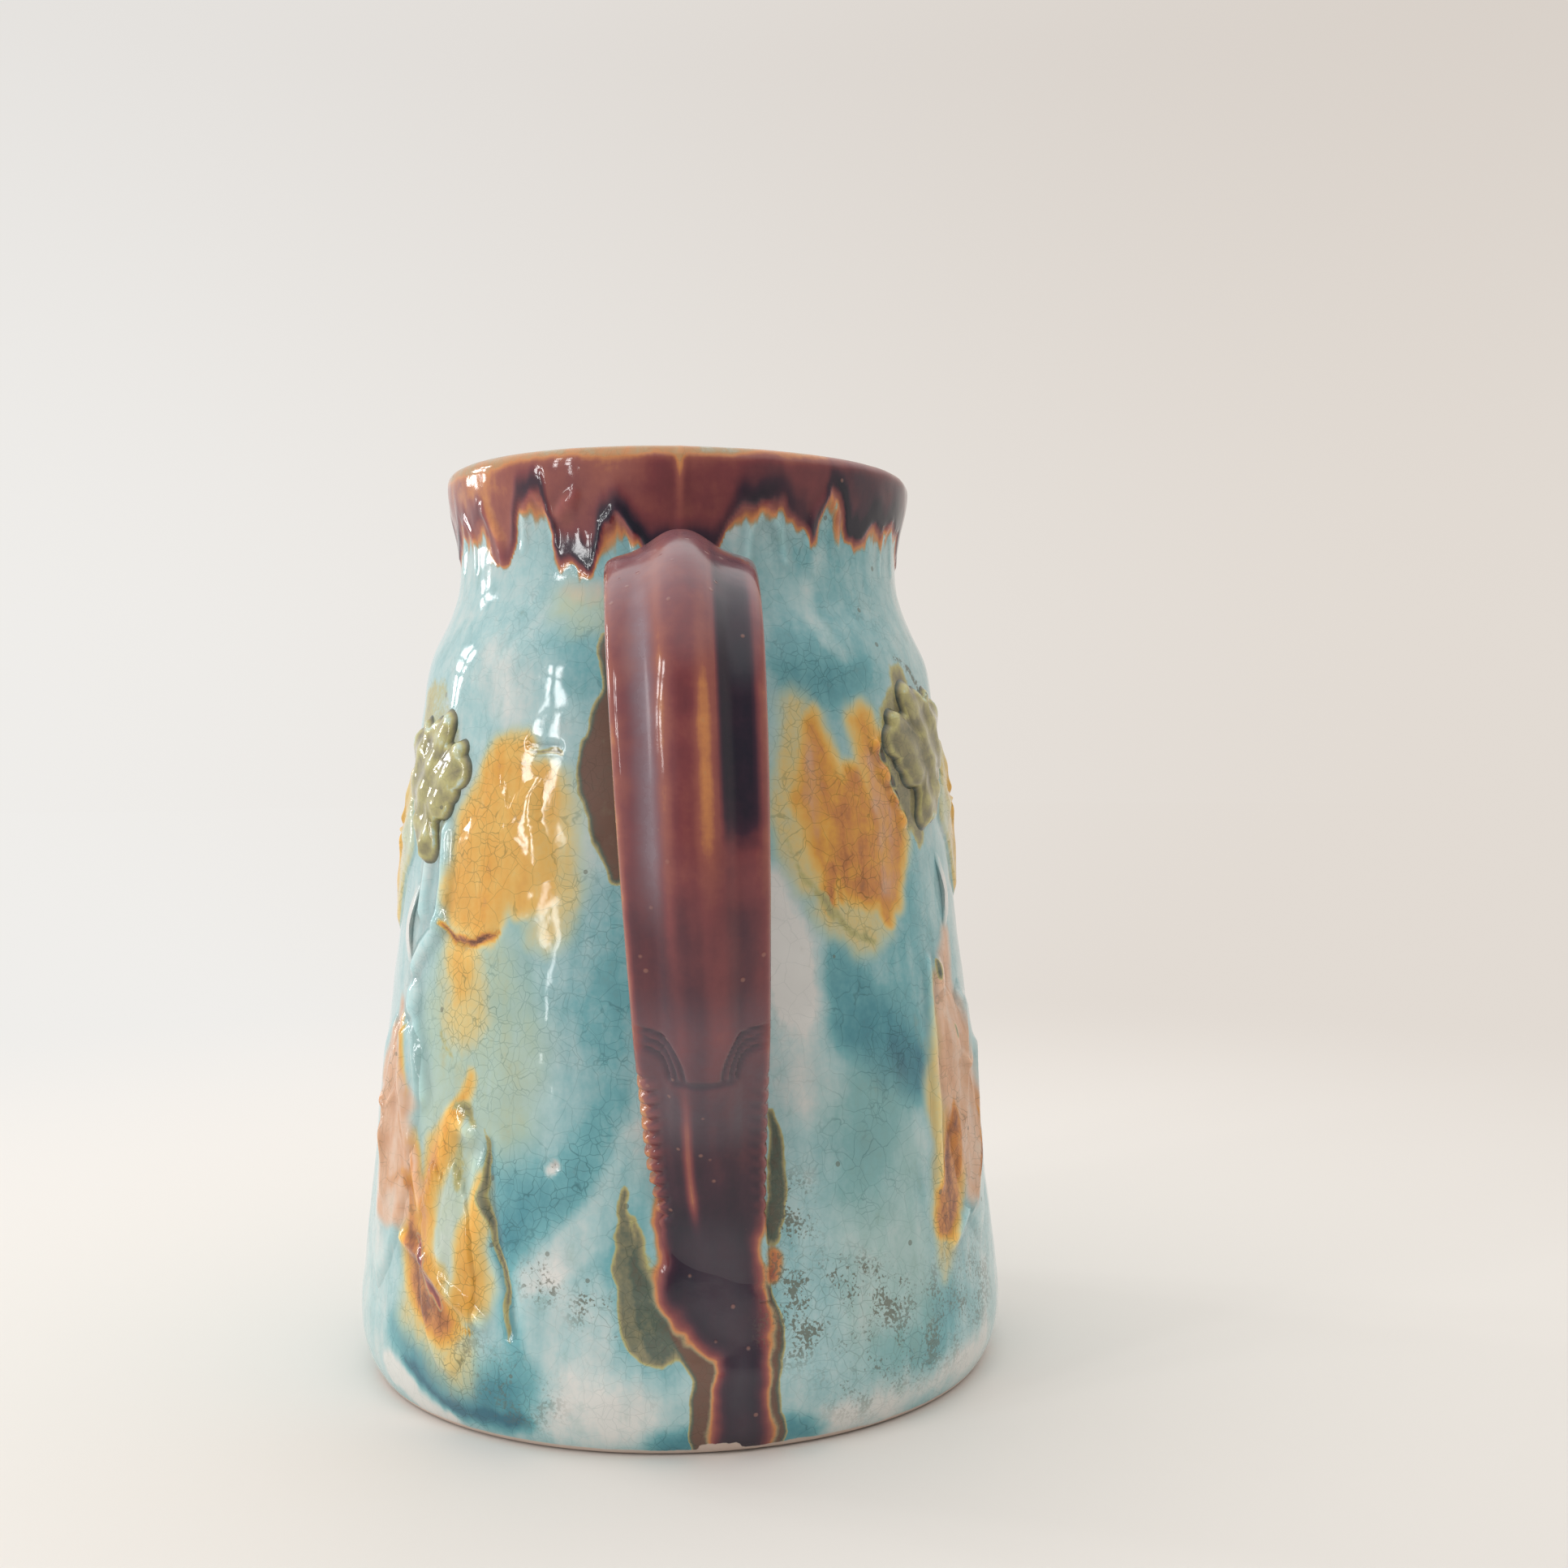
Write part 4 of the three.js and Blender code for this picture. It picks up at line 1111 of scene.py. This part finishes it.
def ramp(factor, stops):
    made = put(factor.tree, "ValToRGB", {0: factor})
    elements = made.socket.node.color_ramp.elements
    while len(elements) < len(stops):
        elements.new(0.5)
    for element, (place, colour) in zip(elements, stops):
        element.position = place
        element.color = (*colour, 1)
    return made


def grain(place, scale, detail):
    """Noise about zero."""
    return put(place.tree, "TexNoise", {"Vector": place, "Scale": scale, "Detail": detail}) - 0.5


def cells(place, scale, feature="F1"):
    """Distance from the middle or the border of the nearest cell."""
    return put(place.tree, "TexVoronoi", {"Vector": place, "Scale": scale}, "Distance", feature=feature)


def new_material(name):
    """Empty material and a wire with the places on its object."""
    material = bpy.data.materials.new(name)
    material.use_nodes = True
    material.node_tree.nodes.clear()
    return material, put(material.node_tree, "TexCoord", output="Object")


# Colours of the glazes from thin to thick, of the bare clay and of what lies on them
TURQUOISE = [
    (0.0, (0.7, 0.7, 0.67)),
    (0.28, (0.39, 0.57, 0.58)),
    (0.52, (0.165, 0.41, 0.445)),
    (0.78, (0.08, 0.28, 0.33)),
    (1.0, (0.035, 0.15, 0.21)),
]
AMBER = [
    (0.08, (0.38, 0.5, 0.44)),
    (0.24, (0.5, 0.56, 0.38)),
    (0.4, (0.66, 0.53, 0.23)),
    (0.54, (0.75, 0.46, 0.12)),
    (0.7, (0.73, 0.36, 0.062)),
    (0.86, (0.58, 0.23, 0.065)),
    (1.0, (0.25, 0.085, 0.04)),
]
PINK = [
    (0.3, (0.6, 0.3, 0.16)),
    (0.5, (0.68, 0.43, 0.29)),
    (0.7, (0.72, 0.55, 0.44)),
]
OLIVE = [
    (0.2, (0.46, 0.47, 0.24)),
    (0.34, (0.46, 0.42, 0.18)),
    (0.5, (0.27, 0.24, 0.14)),
    (0.66, (0.1, 0.13, 0.1)),
    (0.82, (0.13, 0.09, 0.065)),
    (0.95, (0.16, 0.085, 0.06)),
]
MANGANESE = [
    (0.0, (0.3, 0.36, 0.26)),
    (0.1, (0.38, 0.31, 0.17)),
    (0.21, (0.6, 0.24, 0.09)),
    (0.32, (0.33, 0.1, 0.075)),
    (0.48, (0.21, 0.05, 0.055)),
    (0.62, (0.13, 0.034, 0.044)),
    (0.8, (0.05, 0.018, 0.034)),
    (1.0, (0.012, 0.01, 0.022)),
]
CLAY = (0.6, 0.48, 0.41)
CLAYS = [(0.25, (0.42, 0.31, 0.25)), (0.55, CLAY), (0.8, (0.68, 0.58, 0.5))]
IRON = (0.16, 0.08, 0.05)
CRACK = (0.3, 0.4, 0.4)
DIRT = (0.12, 0.12, 0.08)
# Grey-lavender film: dust, and a painted reflection of the pale room
DUST_AND_SHEEN = (0.31, 0.245, 0.285)
BLISTER_AND_GLINT = (0.42, 0.2, 0.15)

# Size of the textures, in repeats per metre
FINE = 900
MOTTLE = 170
RUNS = 330
WANDER = 260
RIPPLE = 70
BUBBLES = 330
PITS = 260
SAND = 1500
SMEAR = 90
SPECKS = 420
PATCHES = 60
BLOTCHES = 160
FLOOR_GRAIN = 3

# Stretch of the runs, reach of the crackle's bends in metres, and scale and line width of the crackle
RUN_STRETCH = (1, 1, 0.16)
WANDER_REACH = 0.002
CRACKLE = ((380, 0.04), (190, 0.02))


def glaze_material():
    material, place = new_material("running_glaze")
    tree = place.tree
    field = {name: put(tree, "Attribute", output="Fac", attribute_name=name) for name in FIELDS}
    fine = grain(place, FINE, 4)
    mottle = grain(place, MOTTLE, 4)
    runs = grain(put(tree, "Mapping", {"Vector": place, "Scale": RUN_STRETCH}), RUNS, 4)

    colour = ramp(field["depth"] + 0.3 * runs + 0.3 * mottle + 0.16 * fine, TURQUOISE)
    amber = field["amber"] * (1 + 0.45 * mottle + 0.5 * runs + 0.2 * fine)
    colour = blend(amber.step(0.02, 0.44), colour, ramp(amber, AMBER))
    pink = field["pink"] + 0.3 * mottle + 0.4 * runs
    colour = blend(pink.step(0.2, 0.9), colour, ramp(0.5 + 0.6 * mottle + 0.6 * runs, PINK))
    olive = field["olive"] + 0.3 * mottle + 0.2 * fine
    colour = blend(olive.step(0.18, 0.36), colour, ramp(olive, OLIVE))
    brown = field["manganese"] + 0.12 * runs + 0.18 * mottle + 0.06 * fine
    colour = blend(brown.step(0.02, 0.16), colour, ramp(brown, MANGANESE))

    # The glaze is thin on crests and pools between them; the brightness change is also painted highlight on
    # the crests and painted shade in the hollows
    colour = put(tree, "HueSaturation", {"Color": colour, "Value": 1 + 0.75 * field["crest"]})

    # Crackle in two sizes, strongest where the glaze is deep
    wander = put(tree, "TexNoise", {"Vector": place, "Scale": WANDER, "Detail": 2}, "Color")
    wander = put(tree, "VectorMath", {0: wander, 1: (0.5, 0.5, 0.5)}, operation="SUBTRACT")
    wander = put(tree, "VectorMath", {0: wander, 3: WANDER_REACH}, operation="SCALE")
    bent = put(tree, "VectorMath", {0: place, 1: wander}, operation="ADD")
    small, large = (1 - cells(bent, scale, "DISTANCE_TO_EDGE").step(0, width) for scale, width in CRACKLE)
    visible = grain(place, PATCHES, 2).step(-0.1, 0.12)
    rich = field["depth"].step(0.2, 0.6).most(field["amber"].step(0.1, 0.4))
    plain = 1 - field["manganese"].step(0.08, 0.3)
    crackle = (small * visible).most(0.7 * large) * plain * (0.24 + 0.46 * rich)
    colour = blend(crackle, colour, CRACK, "MULTIPLY")

    # Burst bubbles in the dark glaze, each lighter spot also a painted glint
    bubbles = cells(place, BUBBLES)
    luck = put(tree, "SeparateColor", {0: bubbles.beside("Color")}, 1)
    blister_and_glint = (1 - bubbles.step(0.08, 0.2)) * (luck > 0.8) * field["manganese"].step(0.25, 0.45)
    colour = blend(0.45 * blister_and_glint, colour, BLISTER_AND_GLINT)

    # Pits, stains and dust; the dust film also paints in sheen and reflections of the pale room
    spots = cells(place, PITS)
    chance = put(tree, "SeparateColor", {0: spots.beside("Color")})
    pit = (spots < 0.15) * (chance > 0.95) * plain
    stain = (grain(place, SAND, 4) + 0.8 * grain(place, BLOTCHES, 2)).step(0.06, 0.14)
    dirt = (0.6 * pit).most(field["grime"] * stain.most(0.3 * small)).least(0.8)
    colour = blend(dirt, colour, DIRT)
    film = field["dust_and_sheen"] * (0.9 + 0.7 * mottle + 0.4 * fine)
    colour = blend(film.least(0.85), colour, DUST_AND_SHEEN)
    bare = (field["clay"] + 0.3 * fine).step(0.35, 0.65)
    colour = blend(bare, colour, CLAY)

    rough = 0.08 + 0.1 * mottle + 0.3 * dirt + 0.3 * film + 0.6 * bare
    relief = 1.4 * grain(place, RIPPLE, 2) - 0.5 * dirt + 0.3 * blister_and_glint + 0.06 * fine
    bump = put(tree, "Bump", {"Height": relief, "Strength": 0.35, "Distance": 0.0006})
    values = {"Base Color": colour, "Roughness": rough, "IOR": 1.5, "Normal": bump}
    show(put(tree, "BsdfPrincipled", values), "Material")
    return material


def clay_material():
    material, place = new_material("bare_clay")
    fine = grain(place, SAND, 5)
    smear = grain(place, SMEAR, 3)
    colour = ramp(0.5 + 0.8 * smear + 0.4 * fine, CLAYS)
    colour = blend(0.6 * (cells(place, SPECKS) < 0.1), colour, IRON)
    bump = put(place.tree, "Bump", {"Height": 0.6 * fine + 0.8 * smear, "Strength": 0.5, "Distance": 0.0005})
    values = {"Base Color": colour, "Roughness": 0.8 + 0.2 * smear, "Normal": bump}
    show(put(place.tree, "BsdfPrincipled", values), "Material")
    return material


# Stage, light and camera
FLOOR_RADIUS = 4
FLOOR_DROP = 0.0003
FLOOR_COLOUR = (0.8, 0.77, 0.735)
FLOOR_SHADE = 0.96
FADE_START = 0.13
FADE_END = 0.6
BACK_LEFT = (0.87, 0.855, 0.83)
BACK_RIGHT = (0.76, 0.705, 0.65)
NEAR_LEFT = (0.9, 0.88, 0.86)
NEAR_MIDDLE = (0.3, 0.29, 0.28)
NEAR_RIGHT = (0.6, 0.56, 0.52)
SKY = (1.24, 1.22, 1.19)
SKY_SHADE = (0.78, 0.76, 0.75)

# Where the room's colours change, as shares of a direction to the right, ahead or up
BACK_TURN = (-0.45, 0.45)
LEFT_TURN = (-0.8, -0.2)
RIGHT_TURN = (0.4, 0.9)
NEAR_TO_FAR = (-0.5, 0.6)
SHADE_RISE = (0.05, 0.5)
SKY_RISE = (0.35, 0.75)

# Window panes in metres
WINDOW_PLACES = ((-1.02, -0.8), (-1.14, -0.62), (-1.2, 0.48), (-1.12, 0.64))
WINDOW_HEIGHTS = (0.34, 0.51, 0.68)
PANE_SIZE = (0.09, 0.11)
PANE_POWER = 0.48
LOW_PANE = (-1.0, -0.84, 0.21)
LOW_PANE_SIZE = (0.06, 0.13)
LAMP_AIM = Vector((0, 0, 0.1))


def room_colour(way):
    """Pale room by direction: bright behind the lip and overhead, dim behind the camera."""
    right = put(way.tree, "SeparateXYZ", {0: way})
    up = right.beside("Z")
    far = blend(right.step(*BACK_TURN), BACK_LEFT, BACK_RIGHT)
    far = blend(0.5 * up.step(*SHADE_RISE), far, SKY_SHADE, "MULTIPLY")
    near = blend(right.step(*LEFT_TURN), NEAR_LEFT, NEAR_MIDDLE)
    near = blend(right.step(*RIGHT_TURN), near, NEAR_RIGHT)
    room = blend(right.beside("Y").step(*NEAR_TO_FAR), near, far)
    return blend(up.step(*SKY_RISE), room, SKY)


def make_floor():
    mesh = bpy.data.meshes.new("floor")
    shape = bmesh.new()
    bmesh.ops.create_circle(shape, cap_ends=True, segments=128, radius=FLOOR_RADIUS)
    shape.to_mesh(mesh)
    shape.free()
    material, place = new_material("pale_floor")
    tree = place.tree
    shade = tuple(value * FLOOR_SHADE for value in FLOOR_COLOUR)
    colour = ramp(0.5 + 0.5 * grain(place, FLOOR_GRAIN, 2), [(0.0, shade), (1.0, FLOOR_COLOUR)])
    shader = put(tree, "BsdfPrincipled", {"Base Color": colour, "Roughness": 0.8})
    away = put(tree, "VectorMath", {0: place}, "Value", operation="LENGTH")
    way = put(tree, "VectorMath", {0: place}, operation="NORMALIZE")
    room = put(tree, "Emission", {"Color": room_colour(way)})
    show(put(tree, "MixShader", {0: away.step(FADE_START, FADE_END), 1: shader, 2: room}), "Material")
    mesh.materials.append(material)
    floor = bpy.data.objects.new("floor", mesh)
    floor.location.z = -FLOOR_DROP
    bpy.context.scene.collection.objects.link(floor)


def make_world():
    world = bpy.data.worlds.new("pale_room")
    world.use_nodes = True
    world.node_tree.nodes.clear()
    way = put(world.node_tree, "TexCoord", output="Generated")
    show(put(way.tree, "Background", {"Color": room_colour(way), "Strength": 1.0}), "World")
    bpy.context.scene.world = world


def make_lamp(name, place, size, power):
    lamp = bpy.data.lights.new(name, "AREA")
    lamp.shape = "RECTANGLE"
    lamp.size, lamp.size_y = size
    lamp.energy = power
    item = bpy.data.objects.new(name, lamp)
    item.location = place
    item.rotation_euler = (LAMP_AIM - Vector(place)).to_track_quat("-Z", "Y").to_euler()
    bpy.context.scene.collection.objects.link(item)


def make_camera():
    azimuth = math.radians(CAMERA_AZIMUTH)
    place = Vector((math.sin(azimuth), -math.cos(azimuth), 0)) * CAMERA_DISTANCE * MM
    place.z = EYE_HEIGHT * MM
    half = PHOTO_SIZE / 2
    pitch = math.atan((half - HORIZON_PX) / FOCAL_PX)
    yaw = math.atan2(-place.x, -place.y) - math.atan((AXIS_PX - half) / FOCAL_PX)
    ahead = Vector((math.sin(yaw) * math.cos(pitch), math.cos(yaw) * math.cos(pitch), -math.sin(pitch)))
    turn = ahead.to_track_quat("-Z", "Y").to_matrix() @ Matrix.Rotation(math.radians(CAMERA_ROLL), 3, "Z")
    data = bpy.data.cameras.new("camera")
    data.sensor_width = SENSOR_WIDTH
    data.lens = SENSOR_WIDTH * FOCAL_PX / PHOTO_SIZE
    data.clip_start = 0.01
    camera = bpy.data.objects.new("camera", data)
    camera.matrix_world = Matrix.Translation(place) @ turn.to_4x4()
    bpy.context.scene.collection.objects.link(camera)
    bpy.context.scene.camera = camera


make_camera()
make_floor()
make_world()
for pane, (pane_x, pane_y) in enumerate(WINDOW_PLACES):
    for level, pane_z in enumerate(WINDOW_HEIGHTS):
        make_lamp(f"window_pane_{pane}_{level}", (pane_x, pane_y, pane_z), PANE_SIZE, PANE_POWER)
make_lamp("window_sill_pane", LOW_PANE, LOW_PANE_SIZE, PANE_POWER / 2)
bpy.context.scene.view_settings.view_transform = "Standard"

glaze = glaze_material()
glazed_wall(glaze)
strap_handle(glaze)
vine_sprigs(glaze)
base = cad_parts["base_disc"]
base.data.materials.clear()
base.data.materials.append(clay_material())
